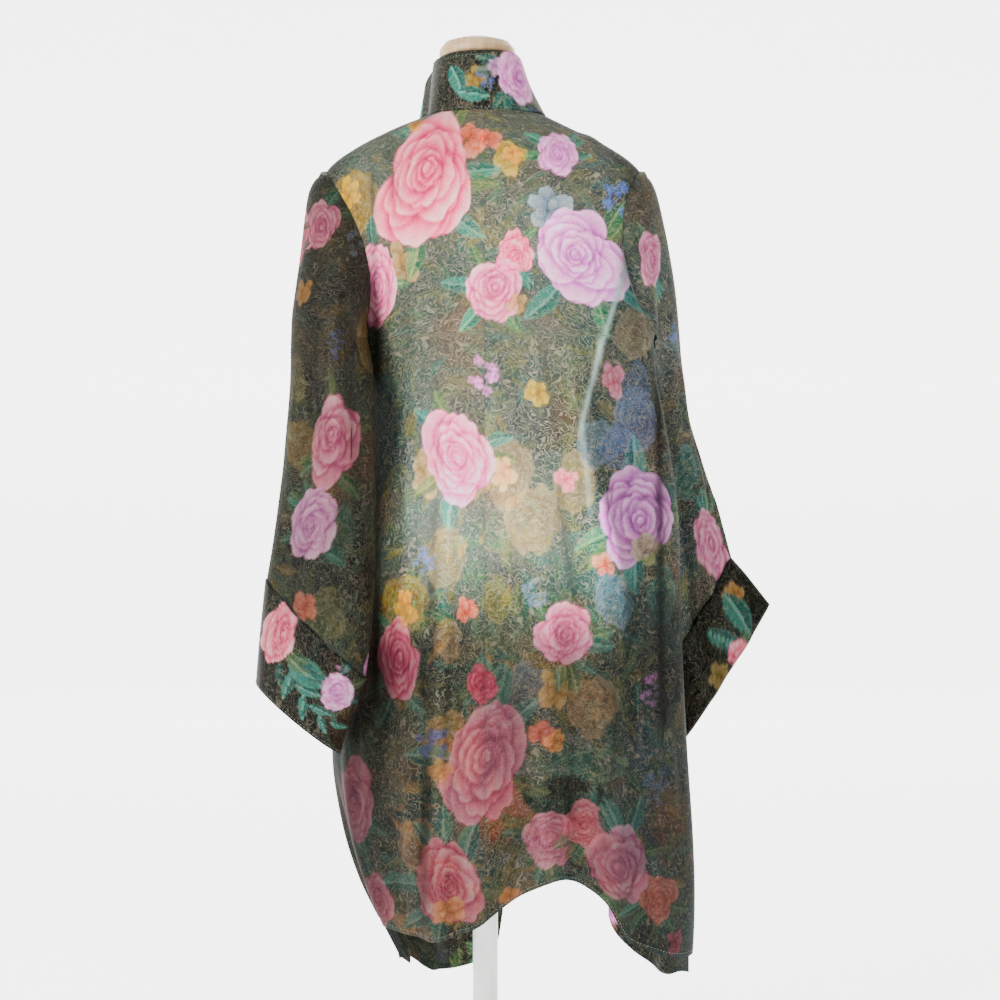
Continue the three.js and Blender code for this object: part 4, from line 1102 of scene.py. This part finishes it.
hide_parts("form_torso")
for node, finish in (("neck_cap", wood), ("stand_pole", paint), ("stand_base", paint)):
    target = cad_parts[node]
    target.data.materials.clear()
    target.data.materials.append(finish)


STITCH_FACES = ((0, 1, 2), (1, 3, 2), (0, 4, 1), (4, 3, 1), (0, 2, 5), (5, 2, 3))
STITCH_CLEARANCE = 0.15


def stitches(name, lines, spacing=4.2, length=2.6, width=0.55, height=0.35, lift=0.0):
    """Rows of small thread stitches that lie on the cloth along lines of points and normals."""
    vertices, faces = [], []
    for points, up in lines:
        steps = np.linalg.norm(np.diff(points, axis=0), axis=-1)
        at = np.concatenate([[0], np.cumsum(steps)])
        for s in np.arange(spacing, at[-1] - spacing, spacing):
            a, b, n = (np.array([np.interp(where, at, values[:, k]) for k in range(3)])
                       for where, values in ((s - length / 2, points), (s + length / 2, points), (s, up)))
            n = unit(n)
            a, b = a + n * lift, b + n * lift
            side = unit(np.cross(b - a, n)) * 0.5 * width
            middle, base = (a + b) / 2, len(vertices)
            low, high = middle + n * 0.02, middle + n * height
            vertices += [a, high - side, high + side, b, low - side * 1.2, low + side * 1.2]
            faces += [tuple(base + i for i in face) for face in STITCH_FACES]
    piece = new_mesh(name, np.array(vertices) * MM, faces, thread, False)
    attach(piece, "root")
    return piece


def at_row(cloth, from_end):
    """The line of points a distance up from a cloth's lower end, with its normals."""
    row = int(np.argmin(np.abs(cloth.v[:, 0] - (cloth.v[-1, 0] - from_end))))
    return cloth.p[row] + cloth.n[row] * STITCH_CLEARANCE, cloth.n[row]


def at_column(cloth, from_side, first=True):
    """The line of points a distance in from a cloth's first or last column."""
    distance = cloth.u - cloth.u[:, :1] if first else cloth.u[:, -1:] - cloth.u
    column = np.argmin(np.abs(distance - from_side), axis=1)
    rows = np.arange(len(column))
    return cloth.p[rows, column] + cloth.n[rows, column] * STITCH_CLEARANCE, cloth.n[rows, column]


SEAM_STITCH_IN, EDGE_STITCH_IN, SATIN_TOP = 4.5, 3.0, 0.5 * SATIN_THICKNESS
trims = {name: [stitches("hem_stitches_" + name, [at_row(cloths[name], EDGE)])]
         for name in ("back_left", "back_right", "front_left", "front_right")}
for name in ("cuff_left", "cuff_right"):
    trims[name] = [stitches("stitches_" + name, [at_row(cloths[name], EDGE_STITCH_IN)], lift=SATIN_TOP)]
band_cloth = cloths["collar_band"]
band_lines = [at_column(band_cloth, SEAM_STITCH_IN), at_column(band_cloth, EDGE_STITCH_IN, False)]
trims["collar_band"] = [stitches("stitches_band", band_lines, lift=SATIN_TOP)]

# Floor, lights and camera
FLOOR_REACH, WALL_Y, WALL_TOP, WALL_HALF = 4.0, -5.0, 7.0, 5.0
profile = [(FLOOR_REACH, 0.0), (WALL_Y + 1.0, 0.0)]
profile += [(WALL_Y + 1.0 - math.sin(a), 1.0 - math.cos(a)) for a in np.linspace(0.1, math.pi / 2, 12)]
profile += [(WALL_Y, WALL_TOP)]
sweep_points = [(x, y, z) for y, z in profile for x in (-WALL_HALF, WALL_HALF)]
sweep_faces = [(2 * i, 2 * i + 1, 2 * i + 3, 2 * i + 2) for i in range(len(profile) - 1)]
floor = new_mesh("studio_floor", sweep_points, sweep_faces, backdrop.material)


def area_light(name, place_, target, size, power):
    light = bpy.data.lights.new(name, "AREA")
    light.shape, light.size, light.energy = "DISK", size, power
    obj = bpy.data.objects.new(name, light)
    bpy.context.collection.objects.link(obj)
    obj.location = place_
    away = np.array(place_) - np.array(target)
    flat_way = math.hypot(away[0], away[1])
    obj.rotation_euler = (math.atan2(flat_way, away[2]), 0, math.atan2(away[0], -away[1]))


area_light("key_light", (2.3, 2.0, 1.9), (0, 0, 0.65), 1.3, 120)
area_light("fill_light", (-1.2, 2.8, 1.0), (0, 0, 0.6), 1.8, 34)
area_light("top_light", (0, -0.6, 2.8), (0, 0, 0.7), 1.6, 30)
world = bpy.data.worlds.new("studio")
world.use_nodes = True
background = world.node_tree.nodes["Background"]
background.inputs["Color"].default_value = (1, 1, 1, 1)
background.inputs["Strength"].default_value = 0.3
bpy.context.scene.world = world

camera_data = bpy.data.cameras.new("camera")
camera_data.angle = 2 * math.atan(500 * MM_PER_PIXEL / (CAMERA_Y - PLANE_Y))
camera_data.shift_y = (IMAGE_ROW - 500) / 1000
camera = bpy.data.objects.new("camera", camera_data)
bpy.context.collection.objects.link(camera)
camera.location = (CAMERA_X * MM, CAMERA_Y * MM, CAMERA_Z * MM)
camera.rotation_euler = (math.pi / 2, 0, math.pi)
bpy.context.scene.camera = camera
